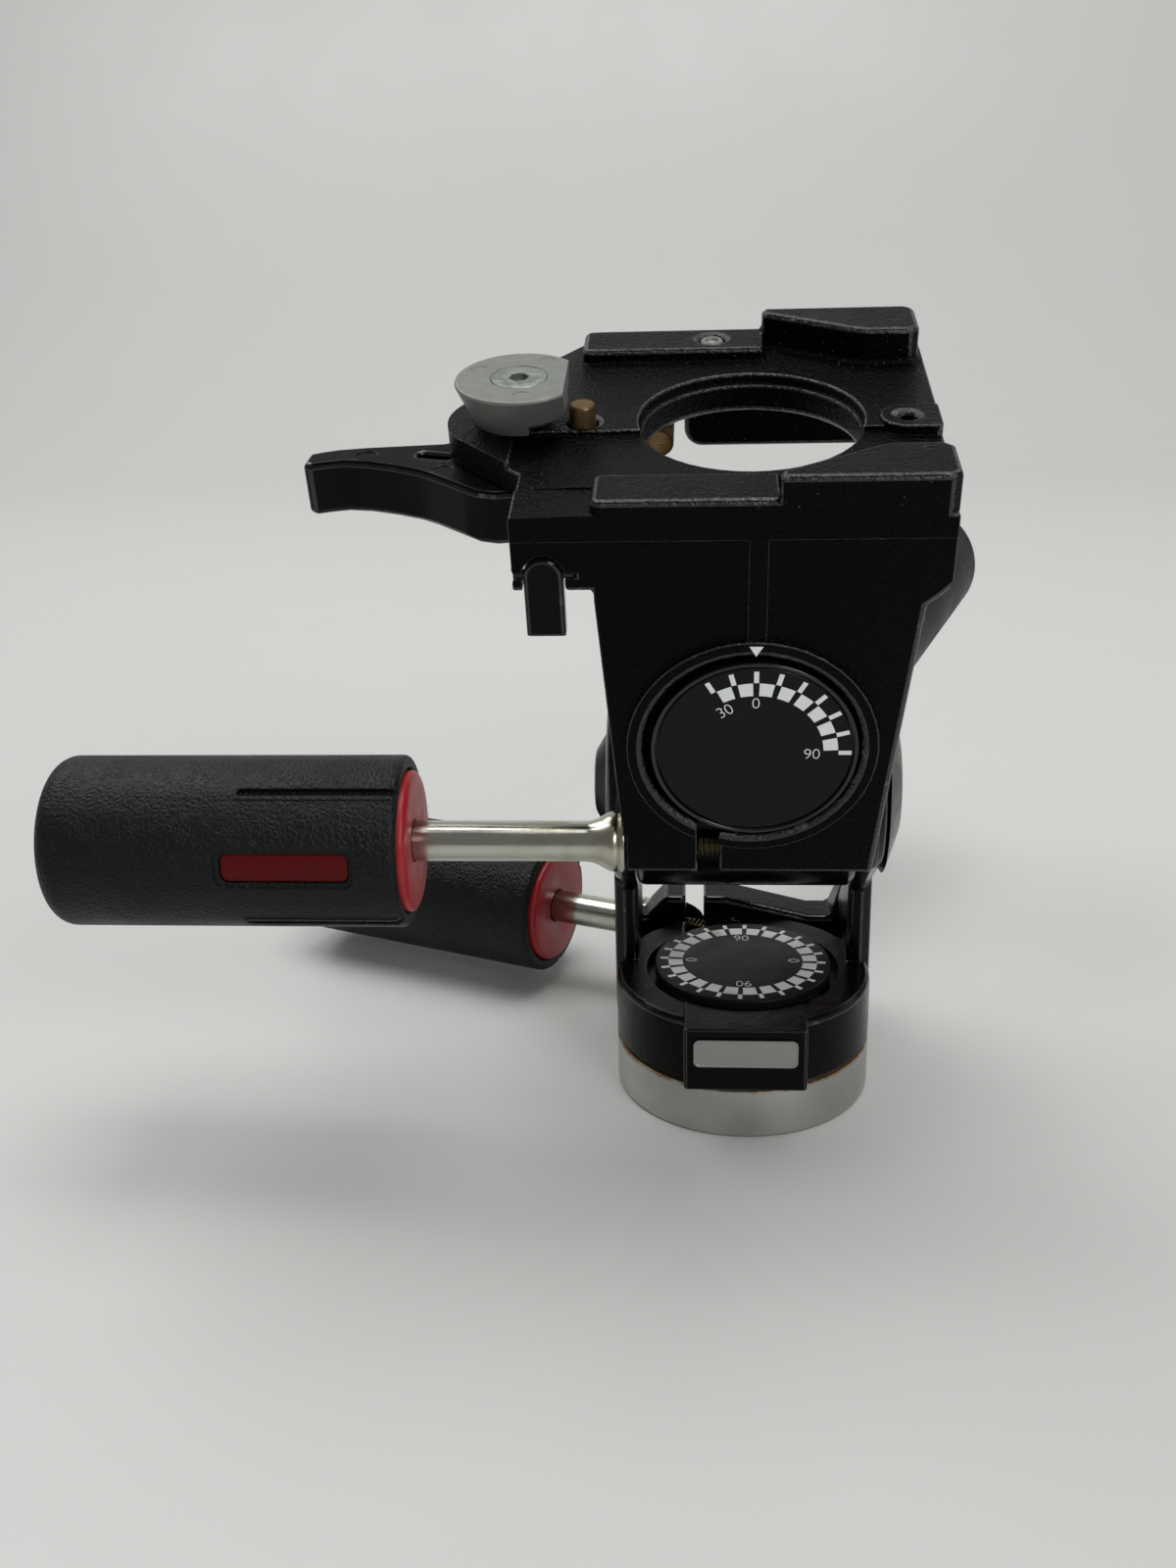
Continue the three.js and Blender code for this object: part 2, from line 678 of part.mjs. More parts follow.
function platformCuts() {
  const top = seat.height + wedge.height + overrun;
  const lipTop = seat.height - hole.lipDepth;
  const opening = placed(
    turned("z", [
      [0, plateBottom - overrun],
      [hole.radius - hole.lip, plateBottom - overrun],
      [hole.radius - hole.lip, lipTop],
      [hole.radius, lipTop + hole.chamfer],
      [hole.radius, seat.height - nearFloor.drop],
      [hole.radius, top],
      [0, top],
    ]),
    [0, hole.y, 0],
  );
  const lowFloor = box(
    leftWing.left - overrun,
    seat.right + overrun,
    seat.front + rail.width,
    nearFloor.from,
    seat.height - nearFloor.drop,
    seat.height + overrun,
  );
  const recess = cylinder(
    "y",
    sideDial.bezelRadius + gap,
    seat.front - boss.lift - overrun,
    seat.front + sideDial.seat + gap,
    0,
    barrel.height,
  );
  const spindleBore = cylinder(
    "y",
    sideSpindle.radius + gap,
    seat.front,
    blockBack + overrun,
    0,
    barrel.height,
  );
  const slit = box(
    blockSlit.x - blockSlit.width / 2,
    blockSlit.x + blockSlit.width / 2,
    seat.front - boss.lift - overrun,
    blockBack + overrun,
    block.bottom - overrun,
    barrel.height - sideSpindle.radius / 2,
  );
  const screwHole = cylinder(
    "x",
    handle.screwRadius + gap,
    -block.bottomHalf - overrun - shoulder.width,
    -block.bottomHalf + sideLock.screw + gap,
    sideScrewY,
    sideScrewZ,
    smallSteps,
  );
  const collarSeat = cylinder(
    "x",
    handle.collarRadius + gap,
    -block.topLeft,
    -block.bottomHalf,
    sideScrewY,
    sideScrewZ,
    gripSteps,
  );
  const panel = cut(
    box(
      leftWing.left - overrun,
      seat.right + overrun,
      seat.front - overrun,
      seat.front + frontPanel.depth,
      block.bottom - overrun,
      panelTop,
    ),
    box(indexRib.left, indexRib.right, seat.front - 2 * overrun, 0, barrel.height, panelTop + overrun),
    cylinder("y", boss.radius, seat.front - 2 * overrun, 0, 0, barrel.height),
  );
  const dogHole = cylinder("z", dog.shaftRadius + gap, noseBottom - overrun, top, nose.x, nose.y, gripSteps);
  const below = plateBottom - overrun;
  const pinRoom = releasePin.radius + gap;
  const pinHole = cylinder("z", pinRoom, below, top, releasePin.x, releasePin.y, smallSteps);
  const screwWell = cylinder(
    "z",
    railScrew.radius + gap,
    seat.height + rail.height - railScrew.depth,
    top,
    railScrew.x,
    seat.back - rail.width / 2,
    smallSteps,
  );
  const bossHole = cylinder("z", plateBoss.holeRadius, below, top, plateBoss.x, plateBoss.y, smallSteps);
  const notchTop = catchPivotZ + catchTab.halfWidth + gap;
  const notchCut = join(
    box(
      catchTab.x - catchTab.halfWidth - gap,
      catchTab.x + catchTab.halfWidth + gap,
      seat.front - overrun,
      crossPinY + catchTab.thickness,
      seat.height - leftWing.skirtDrop - overrun,
      catchPivotZ,
    ),
    cylinder(
      "y",
      notchTop - catchPivotZ,
      seat.front - overrun,
      crossPinY + catchTab.thickness,
      catchTab.x,
      catchPivotZ,
      gripSteps,
    ),
  );
  const crossHole = crossPinHole(crossPin.radius + gap, gap);
  const sideHoles = [recess, spindleBore, screwHole, collarSeat, crossHole];
  const topHoles = [opening, dogHole, pinHole, screwWell, bossHole];
  const floorStep = cut(lowFloor, plateEar(seat.height + overrun));
  return [...sideHoles, ...topHoles, floorStep, slit, panel, notchCut];
}

// Safety catch: a tab with a round top that swings on a cross pin in the notch of the wing's skirt
function crossPinHole(radius, room) {
  const half = catchTab.halfWidth + gap + crossPin.reach + room;
  return cylinder("x", radius, catchTab.x - half, catchTab.x + half, crossPinY, catchPivotZ, smallSteps);
}

function catchTabPiece() {
  const z = catchPivotZ;
  const shape = new THREE.Shape();
  shape.moveTo(catchTab.x - catchTab.halfWidth, z);
  shape.lineTo(catchTab.x - catchTab.halfWidth, z + catchTab.halfWidth - catchTab.length);
  shape.lineTo(catchTab.x + catchTab.halfWidth, z + catchTab.halfWidth - catchTab.length);
  shape.lineTo(catchTab.x + catchTab.halfWidth, z);
  shape.absarc(catchTab.x, z, catchTab.halfWidth, 0, 180 * deg);
  const front = crossPinY - catchTab.thickness / 2;
  const body = extruded("y", shape, front, front + catchTab.thickness, { chamfer: catchTab.chamfer });
  return cut(body, crossPinHole(crossPin.radius + gap, 0));
}

function catchPin() {
  return crossPinHole(crossPin.radius, 0);
}

// Lever under the nose: a hub, a curved blade to the left and a bent tail that reaches the return spring
function leverPiece() {
  const onNose = ([x, y]) => new THREE.Vector2(nose.x + x * lever.reach, nose.y + y * lever.reach);
  const blade = new THREE.Shape();
  blade.moveTo(nose.x, nose.y + lever.hubRadius);
  blade.lineTo(nose.x + lever.hubRadius, nose.y);
  blade.lineTo(...onNose(leverFront[0]));
  blade.splineThru(leverFront.slice(1).map(onNose));
  blade.lineTo(...onNose(leverBack[0]));
  blade.splineThru(leverBack.slice(1).map(onNose));
  const padBack = spring.front - gap;
  const padX = spring.x - leverTail.padWidth / 2;
  const tail = outline([
    [nose.x, nose.y - leverTail.width / 2],
    [nose.x + leverTail.bend, nose.y - leverTail.width / 2],
    [padX + leverTail.padWidth, padBack - leverTail.padThickness],
    [padX + leverTail.padWidth, padBack],
    [padX, padBack],
    [nose.x + leverTail.bend - leverTail.padThickness, nose.y + leverTail.width / 2],
    [nose.x, nose.y + leverTail.width / 2],
  ]);
  const springPad = box(
    padX,
    padX + leverTail.padWidth,
    padBack - leverTail.padThickness,
    padBack,
    leverBottom,
    plateBottom - gap,
  );
  const body = join(
    extruded("z", blade, leverBottom, leverTop, { chamfer: lever.chamfer, curveSegments: lever.curveSteps }),
    cylinder("z", lever.hubRadius, leverBottom, leverTop, nose.x, nose.y, gripSteps),
    extruded("z", tail, leverBottom, leverBottom + leverTail.thickness),
    springPad,
  );
  const slotShape = roundedRectangle(
    -leverSlot.halfLength,
    leverSlot.halfLength,
    -leverSlot.radius,
    leverSlot.radius,
    leverSlot.radius,
  );
  const topSlot = placed(
    extruded("z", slotShape, leverTop - leverSlot.depth, leverTop + overrun, { curveSegments: curveSteps }),
    [nose.x + leverSlot.x, nose.y + leverSlot.y, 0],
    new THREE.Euler(0, 0, leverSlot.turn * deg),
  );
  const boreRadius = dog.shaftRadius + gap;
  const boreTop = leverTop + overrun;
  const shaftBore = cylinder("z", boreRadius, leverBottom + dog.step, boreTop, nose.x, nose.y, gripSteps);
  return cut(body, shaftBore, topSlot);
}

// Locking dog: a cone that widens upwards, cut flat on its inner side, on a shaft into the lever
function lockingDog() {
  const foot = seat.height + gap;
  const top = foot + dog.height;
  const cone = turned("z", [
    [0, foot],
    [dog.footRadius, foot],
    [dog.radius, top - dog.edge],
    [dog.radius - dog.edge, top],
    [0, top],
  ]);
  const side = box(dog.flat, dog.radius + overrun, -dog.radius, dog.radius, foot - overrun, top + overrun);
  const undercut = cut(
    box(dog.step, dog.radius + overrun, -dog.radius, dog.radius, foot - overrun, foot + dog.step),
    cylinder("z", dog.hubRadius, foot - overrun, foot + dog.height),
  );
  const shaft = cylinder("z", dog.shaftRadius, leverBottom + dog.step + gap, foot + dog.step, 0, 0, gripSteps);
  const pinPath = Math.hypot(releasePin.x - nose.x, releasePin.y - nose.y) - releasePin.radius - gap;
  const sector = new THREE.Shape();
  sector.absarc(0, 0, dog.radius + overrun, dogRelief.from * deg, dogRelief.to * deg);
  sector.absarc(0, 0, pinPath, dogRelief.to * deg, dogRelief.from * deg, true);
  const relief = extruded("z", sector, foot - overrun, seat.height + releasePin.lift + gap);
  const headRoom = turned("z", [
    [0, top - dogScrew.headHeight - gap],
    [dogScrew.shankRadius + gap, top - dogScrew.headHeight - gap],
    [dogScrew.headRadius + gap, top],
    [dogScrew.headRadius + gap, top + overrun],
    [0, top + overrun],
  ]);
  const shankRoom = cylinder("z", dogScrew.shankRadius + gap, noseBottom, top, 0, 0, smallSteps);
  return placed(cut(join(cut(cone, side, undercut, relief), shaft), headRoom, shankRoom), [nose.x, nose.y, 0]);
}

function dogScrewPiece() {
  const top = seat.height + gap + dog.height;
  const body = turned("z", [
    [0, noseBottom + gap],
    [dogScrew.shankRadius, noseBottom + gap],
    [dogScrew.shankRadius, top - dogScrew.headHeight],
    [dogScrew.headRadius, top],
    [0, top],
  ]);
  const socket = cylinder("z", dogScrew.socketRadius, top - dogScrew.socketDepth, top + overrun, 0, 0, 6);
  return placed(cut(body, socket), [nose.x, nose.y, 0]);
}

function releasePinPiece() {
  const top = seat.height + releasePin.lift;
  return placed(
    turned(
      "z",
      [
        [0, plateBottom - releasePin.tail],
        [releasePin.radius, plateBottom - releasePin.tail],
        [releasePin.radius, top - releasePin.edge],
        [releasePin.radius - releasePin.edge, top],
        [0, top],
      ],
      smallSteps,
    ),
    [releasePin.x, releasePin.y, 0],
  );
}

function railScrewPiece() {
  const top = seat.height + rail.height - releasePin.edge;
  const bottom = seat.height + rail.height - railScrew.depth + gap;
  return placed(
    cut(
      cylinder("z", railScrew.radius, bottom, top, 0, 0, smallSteps),
      cylinder("z", railScrew.radius / 2, top - railScrew.depth / 3, top + overrun, 0, 0, 6),
    ),
    [railScrew.x, seat.back - rail.width / 2, 0],
  );
}

// Return spring: one unbroken tube whose curls come from a formula, with straight ends
function leverSpring() {
  const stepsPerCurl = 8;
  const sides = 5;
  const height = plateBottom - spring.drop;
  const lead = 2 * spring.wire;
  const turns = spring.curls * stepsPerCurl;
  const centres = [];
  const coilLength = spring.back - spring.front - 2 * lead;
  for (let i = 0; i <= turns; i += 1) {
    const angle = (i / stepsPerCurl) * 2 * Math.PI;
    const along = spring.front + lead + (i / turns) * coilLength;
    centres.push(
      new THREE.Vector3(
        spring.x + spring.radius * Math.cos(angle),
        along,
        height + spring.radius * Math.sin(angle),
      ),
    );
  }
  centres.unshift(centres[0].clone().setY(spring.front));
  centres.push(centres[centres.length - 1].clone().setY(spring.back));
  const path = new THREE.CatmullRomCurve3(centres, false, "centripetal");
  const pitch = coilLength / spring.curls;
  console.log("lever_spring: least gap between curls", (pitch - 2 * spring.wire).toFixed(2), "mm");
  return solidOf(tubeAlong(path.points, spring.wire, sides));
}

// A closed tube through points: a ring of corners square to the path at each, and a cap at both ends
function tubeAlong(points, radius, sides) {
  const positions = [];
  const indices = [];
  let across = new THREE.Vector3(1, 0, 0);
  points.forEach((point, i) => {
    const before = points[Math.max(i - 1, 0)];
    const after = points[Math.min(i + 1, points.length - 1)];
    const along = after.clone().sub(before).normalize();
    across = across.clone().addScaledVector(along, -across.dot(along)).normalize();
    const up = along.clone().cross(across);
    for (let k = 0; k < sides; k += 1) {
      const turn = (k / sides) * 2 * Math.PI;
      const corner = point
        .clone()
        .addScaledVector(across, radius * Math.cos(turn))
        .addScaledVector(up, radius * Math.sin(turn));
      positions.push(corner.x, corner.y, corner.z);
    }
  });
  for (let i = 0; i + 1 < points.length; i += 1) {
    for (let k = 0; k < sides; k += 1) {
      const a = i * sides + k;
      const b = i * sides + ((k + 1) % sides);
      indices.push(a, b, b + sides, a, b + sides, a + sides);
    }
  }
  const last = (points.length - 1) * sides;
  for (let k = 1; k + 1 < sides; k += 1) {
    indices.push(0, k + 1, k);
    indices.push(last, last + k, last + k + 1);
  }
  const geometry = new THREE.BufferGeometry();
  geometry.setAttribute("position", new THREE.Float32BufferAttribute(positions, 3));
  geometry.setIndex(indices);
  return geometry;
}

// Lock handle along +X from its seat: screw and rod in one, red cap, rubber grip, red window
function handleRod(lock) {
  const end = lock.rod + cap.lip + handle.tailInGrip;
  const flareStart = gap + handle.collar;
  return turned(
    "x",
    [
      [0, -lock.screw],
      [handle.screwRadius, -lock.screw],
      [handle.screwRadius, gap],
      [handle.collarRadius, gap],
      [handle.collarRadius, flareStart],
      [handle.rodRadius + (handle.collarRadius - handle.rodRadius) / 4, flareStart + handle.flare / 3],
      [handle.rodRadius, flareStart + handle.flare],
      [handle.rodRadius, end],
      [0, end],
    ],
    gripSteps,
  );
}

function handleCap(lock) {
  const face = lock.rod;
  const back = face + cap.lip + cap.inset;
  return turned(
    "x",
    [
      [handle.rodRadius + gap, face],
      [cap.radius - cap.lip / 4, face],
      [cap.radius, face + cap.lip / 4],
      [cap.radius, back],
      [handle.rodRadius + gap, back],
    ],
    gripSteps,
  );
}

function handleGrip(lock) {
  const windowTurn = new THREE.Euler(lock.windowAngle * deg, 0, 0);
  const start = lock.rod + cap.lip;
  const end = start + grip.length;
  const corner = (share) => [
    grip.radius - grip.round * (1 - Math.cos(share * 90 * deg)),
    end - grip.round + grip.round * Math.sin(share * 90 * deg),
  ];
  const body = turned(
    "x",
    [
      [0, start + cap.inset + gap],
      [cap.radius + gap, start + cap.inset + gap],
      [cap.radius + gap, start],
      [grip.radius - grip.wall / 3, start],
      [grip.radius, start + grip.wall / 3],
      corner(0),
      corner(1 / 3),
      corner(2 / 3),
      corner(1),
      [0, end],
    ],
    gripSteps,
  );
  const rodEnd = start + handle.tailInGrip;
  const rodRoom = cylinder("x", handle.rodRadius + gap, start, rodEnd + gap, 0, 0, gripSteps);
  const window = placed(windowShape(start, gap), [0, 0, 0], windowTurn);
  const slots = slotAngles.map((angle) => {
    const slot = box(
      start + grip.wall,
      start + grip.slotLength,
      -grip.radius - overrun,
      -grip.radius + grip.slotDepth,
      -grip.slotWidth / 2,
      grip.slotWidth / 2,
    );
    return placed(slot, [0, 0, 0], new THREE.Euler((lock.windowAngle + angle) * deg, 0, 0));
  });
  return cut(body, rodRoom, window, ...slots);
}

function windowShape(start, room) {
  const shape = roundedRectangle(
    start + redWindow.start - room,
    start + redWindow.start + redWindow.length + room,
    -redWindow.halfWidth - room,
    redWindow.halfWidth + room,
    redWindow.corner,
  );
  const bottom = -grip.radius + redWindow.depth + 2 * gap + room;
  const top = room > 0 ? -grip.radius - overrun : -grip.radius + redWindow.depth / 2;
  return extruded("y", shape, top, bottom, { curveSegments: curveSteps });
}

function handleWindow(lock) {
  const windowTurn = new THREE.Euler(lock.windowAngle * deg, 0, 0);
  return placed(windowShape(lock.rod + cap.lip, 0), [0, 0, 0], windowTurn);
}

function lockHandle(parent, name, lock, position, turn) {
  const group = new THREE.Group();
  group.position.set(...position);
  group.rotation.copy(turn);
  parent.add(group);
  piece(group, `${name}_rod`, handleRod(lock), "steel");
  piece(group, `${name}_cap`, handleCap(lock), "red");
  piece(group, `${name}_grip`, handleGrip(lock), "rubber");
  piece(group, `${name}_window`, handleWindow(lock), "red");
}

// Assembly: base, pan housing on it, middle casting on the tilt axle, platform on the side spindle
const head = new THREE.Group();
piece(head, "base_ring", baseRing(), "aluminium");
piece(head, "pan_washer", panWasher(), "rust");
piece(head, "pan_spindle", panSpindle(), "steel");
piece(head, "pan_dial", panDialDisc(), "dial");

const panGroup = new THREE.Group();
head.add(panGroup);
piece(panGroup, "pan_housing", panHousing(), "black");
piece(panGroup, "name_plate", namePlate(), "silver");
const outward = new THREE.Vector3(1, 0, 0).applyEuler(panLockPlace.turn).multiplyScalar(panLock.seat);
const panSeat = new THREE.Vector3(...panLockPlace.position).add(outward);
lockHandle(panGroup, "pan_lock", panLock, panSeat.toArray(), panLockPlace.turn);

const axleGroup = new THREE.Group();
axleGroup.position.z = tilt.height;
panGroup.add(axleGroup);
piece(axleGroup, "tilt_axle", tiltAxlePiece(), "steel");
piece(axleGroup, "axle_cap_left", endCap(leftCap, -1), "black");
piece(axleGroup, "axle_cap_right", endCap(rightCap, 1), "black");

const tiltGroup = new THREE.Group();
tiltGroup.position.z = tilt.height;
tiltGroup.rotation.x = tilt.angle * deg;
panGroup.add(tiltGroup);
piece(tiltGroup, "tilt_body", tiltBody(), "black");
piece(tiltGroup, "brake_shoe", brakeShoe(), "brass");
piece(tiltGroup, "side_spindle", sideSpindlePiece(), "steel");
piece(tiltGroup, "side_dial_cap", sideDialCap(), "dial");
piece(tiltGroup, "side_dial_label", sideDialLabel(), "dial");
lockHandle(tiltGroup, "tilt_lock", tiltLock, tiltLockPlace.position, tiltLockPlace.turn);

const platformGroup = new THREE.Group();
tiltGroup.add(platformGroup);
piece(platformGroup, "platform", platformCasting(), "castBlack");
piece(platformGroup, "rail_screw", railScrewPiece(), "steel");
piece(platformGroup, "catch_pin", catchPin(), "steel");
piece(platformGroup, "safety_catch", catchTabPiece(), "black");
piece(platformGroup, "release_pin", releasePinPiece(), "brass");
piece(platformGroup, "lever_spring", leverSpring(), "brass");
piece(platformGroup, "release_lever", leverPiece(), "black");
piece(platformGroup, "locking_dog", lockingDog(), "zinc");
piece(platformGroup, "dog_screw", dogScrewPiece(), "zinc");
const sideSeat = [-block.bottomHalf, sideScrewY, sideScrewZ];
lockHandle(platformGroup, "side_lock", sideLock, sideSeat, new THREE.Euler(0, 0, 180 * deg));

export default head;
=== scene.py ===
"""Looks of a three way pan tilt head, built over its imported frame. Run as a script in Blender 4.5."""

import math

import bmesh
import bpy
from mathutils import Matrix, Vector, geometry
from mathutils.bvhtree import BVHTree


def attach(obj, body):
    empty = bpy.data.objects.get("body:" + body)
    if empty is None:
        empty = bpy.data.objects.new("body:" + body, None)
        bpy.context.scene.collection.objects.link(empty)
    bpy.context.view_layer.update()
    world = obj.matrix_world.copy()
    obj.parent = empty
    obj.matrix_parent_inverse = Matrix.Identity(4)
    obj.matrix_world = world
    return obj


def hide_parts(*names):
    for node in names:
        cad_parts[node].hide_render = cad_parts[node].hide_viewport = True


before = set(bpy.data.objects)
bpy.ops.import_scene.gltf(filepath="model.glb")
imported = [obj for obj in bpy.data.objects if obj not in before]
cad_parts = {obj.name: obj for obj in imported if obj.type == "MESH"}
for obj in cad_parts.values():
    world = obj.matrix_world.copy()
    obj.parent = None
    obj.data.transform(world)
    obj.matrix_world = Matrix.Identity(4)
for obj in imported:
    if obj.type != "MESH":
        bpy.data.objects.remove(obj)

bl_info = {
    "name": "Three way pan tilt head",
    "version": (1, 0, 0),
    "blender": (4, 5, 0),
    "location": "View3D > Sidebar > Pan tilt head",
    "description": "Builds the pieces, finishes and stage of a three way pan tilt head",
    "category": "Object",
}

MM = 0.001
FULL_TURN = 2 * math.pi

# Points nearer than this are one point: in new pieces, and in copies of CAD pieces
SAME_SPOT, CAD_SPOT = 1e-4, 2e-3


def moved(x, y, z):
    return Matrix.Translation((x, y, z))


def spun(degrees, axis):
    return Matrix.Rotation(math.radians(degrees), 4, axis)


# The frames that the pieces are drawn in: the base's, and the tilt axle's at the lean of the photograph
UPRIGHT = Matrix.Identity(4)
TILTED = moved(0, 0, 75.5) @ spun(16.54, "X")


# Sizes and colours


def length(name, words, value, low, high):
    """A size given in millimetres, kept and shown as a length"""
    return bpy.props.FloatProperty(
        name=name, description=words, subtype="DISTANCE", unit="LENGTH", precision=4,
        default=value * MM, min=low * MM, max=high * MM,
    )


def colour(name, words, value):
    return bpy.props.FloatVectorProperty(
        name=name, description=words, subtype="COLOR", size=3, min=0, max=1, default=value
    )


class CastingSizes(bpy.types.PropertyGroup):
    """Sizes of the cast and turned metal pieces"""

    base_radius: length("Base radius", "Radius of the base ring", 30, 20, 50)
    base_height: length("Base height", "Height of the base ring", 12, 6, 30)
    dog_radius: length("Dog radius", "Top radius of the locking dog", 12.7, 8, 18)
    edge_round: bpy.props.FloatProperty(
        name="Edge round", description="Share of the castings' full edge rounding",
        subtype="FACTOR", default=1.0, min=0.1, max=1.5,
    )


class HandleSizes(bpy.types.PropertyGroup):
    """Sizes of the three lock handles"""

    grip_radius: length("Grip radius", "Radius of the rubber grip", 18, 10, 30)
    grip_length: length("Grip length", "Length of the rubber grip", 73, 40, 120)
    cap_radius: length("Cap radius", "Radius of the red end cap", 14.8, 8, 18)
    rod_radius: length("Rod radius", "Radius of the steel rod", 4.25, 2, 8)


class HeadColours(bpy.types.PropertyGroup):
    """Colours of the finishes"""

    enamel: colour("Enamel", "Black enamel of the castings", (0.0011, 0.00115, 0.0013))
    rubber: colour("Rubber", "Grained rubber of the grips", (0.0052, 0.0055, 0.0060))
    red: colour("Red plastic", "End caps and windows of the grips", (0.36, 0.0085, 0.014))
    base_metal: colour("Base metal", "Satin metal of the base ring", (0.47, 0.47, 0.45))
    plated: colour("Plated steel", "Plated rods and screws", (0.54, 0.53, 0.47))
    zinc: colour("Zinc", "Cast zinc of the locking dog", (0.176, 0.183, 0.170))
    brass: colour("Brass", "Release pin and spring", (0.16, 0.105, 0.048))
    paint: colour("Dial paint", "White marks of the dials", (0.84, 0.86, 0.85))
    floor: colour("Floor", "Pale floor and backdrop", (0.56, 0.57, 0.553))


def casting(size):
    """One of the castings' sizes, in millimetres"""
    return getattr(bpy.context.scene.casting_sizes, size) / MM


def handle(size):
    """One of the handles' sizes, in millimetres"""
    return getattr(bpy.context.scene.handle_sizes, size) / MM


def chosen(name):
    return tuple(getattr(bpy.context.scene.head_colours, name))


def shaded(tone, share):
    return tuple(share * part for part in tone)


# Finishes, made from nodes

# The colour sockets of Blender's Mix node, whose names are not unique
MIX_SHARE, MIX_FIRST, MIX_SECOND, MIX_RESULT = 0, 6, 7, 2


class Finish:
    """A material with its shader, and short words for the nodes that feed it"""

    def __init__(self, name, base, rough, metallic=0.0, coat=0.0, specular=0.5):
        self.material = bpy.data.materials.new(name)
        self.material.use_nodes = True
        self.nodes = self.material.node_tree.nodes
        self.links = self.material.node_tree.links
        self.shader = self.nodes["Principled BSDF"]
        self.shader.inputs["Base Color"].default_value = (*base, 1)
        self.shader.inputs["Roughness"].default_value = rough
        self.shader.inputs["Metallic"].default_value = metallic
        self.shader.inputs["Coat Weight"].default_value = coat
        self.shader.inputs["Coat Roughness"].default_value = 0.25
        self.shader.inputs["Specular IOR Level"].default_value = specular
        self.place = self.nodes.new("ShaderNodeTexCoord").outputs["Object"]

    def stretched(self, scale):
        mapping = self.nodes.new("ShaderNodeMapping")
        mapping.inputs["Scale"].default_value = scale
        self.links.new(self.place, mapping.inputs["Vector"])
        return mapping.outputs["Vector"]

    def noise(self, scale, detail=3, rough=0.5, place=None):
        node = self.nodes.new("ShaderNodeTexNoise")
        node.inputs["Scale"].default_value = scale
        node.inputs["Detail"].default_value = detail
        node.inputs["Roughness"].default_value = rough
        self.links.new(place or self.place, node.inputs["Vector"])
        return node.outputs["Fac"]

    def cells(self, scale, feature="F1", place=None):
        node = self.nodes.new("ShaderNodeTexVoronoi")
        node.feature = feature
        node.inputs["Scale"].default_value = scale
        self.links.new(place or self.place, node.inputs["Vector"])
        return node.outputs["Distance"]

    def ramp(self, value, *stops):
        node = self.nodes.new("ShaderNodeValToRGB")
        bar = node.color_ramp
        while len(bar.elements) < len(stops):
            bar.elements.new(0.5)
        for element, (at, tone) in zip(bar.elements, stops):
            element.position = at
            element.color = (*tone, 1) if isinstance(tone, tuple) else (tone, tone, tone, 1)
        self.links.new(value, node.inputs["Fac"])
        return node.outputs["Color"]

    def patches(self, value, low, high):
        """0 below the low value, 1 above the high one"""
        return self.ramp(value, (low, 0.0), (high, 1.0))

    def specks(self, fineness, gathering, low, high):
        """Small dots that gather in patches"""
        dots = self.ramp(self.cells(fineness), (0.0, 1.0), (0.05, 0.0))
        return self.times(dots, self.patches(self.noise(gathering), low, high))

    def calc(self, kind, a, b):
        node = self.nodes.new("ShaderNodeMath")
        node.operation = kind
        for socket, value in zip(node.inputs, (a, b)):
            if isinstance(value, (int, float)):
                socket.default_value = value
            else:
                self.links.new(value, socket)
        return node.outputs["Value"]

    def plus(self, a, b):
        return self.calc("ADD", a, b)

    def times(self, a, b):
        return self.calc("MULTIPLY", a, b)

    def mix(self, share, a, b):
        node = self.nodes.new("ShaderNodeMix")
        node.data_type = "RGBA"
        for number, value in ((MIX_SHARE, share), (MIX_FIRST, a), (MIX_SECOND, b)):
            socket = node.inputs[number]
            if isinstance(value, tuple):
                socket.default_value = (*value, 1)
            elif isinstance(value, (int, float)):
                socket.default_value = value
            else:
                self.links.new(value, socket)
        return node.outputs[MIX_RESULT]

    def attribute(self, name):
        node = self.nodes.new("ShaderNodeAttribute")
        node.attribute_name = name
        return node.outputs["Fac"]

    def height(self):
        node = self.nodes.new("ShaderNodeSeparateXYZ")
        self.links.new(self.place, node.inputs["Vector"])
        return node.outputs["Z"]

    def feed(self, socket, value):
        self.links.new(value, self.shader.inputs[socket])

    def paint(self, share, tone, other):
        self.feed("Base Color", self.mix(share, tone, other))

    def rough(self, value, *stops):
        self.feed("Roughness", self.ramp(value, *stops))

    def bump(self, height, depth, strength=1.0):
        node = self.nodes.new("ShaderNodeBump")
        node.inputs["Distance"].default_value = depth * MM
        node.inputs["Strength"].default_value = strength
        self.links.new(height, node.inputs["Height"])
        last = self.shader.inputs["Normal"]
        if last.is_linked:
            self.links.new(last.links[0].from_socket, node.inputs["Normal"])
        self.links.new(node.outputs["Normal"], last)


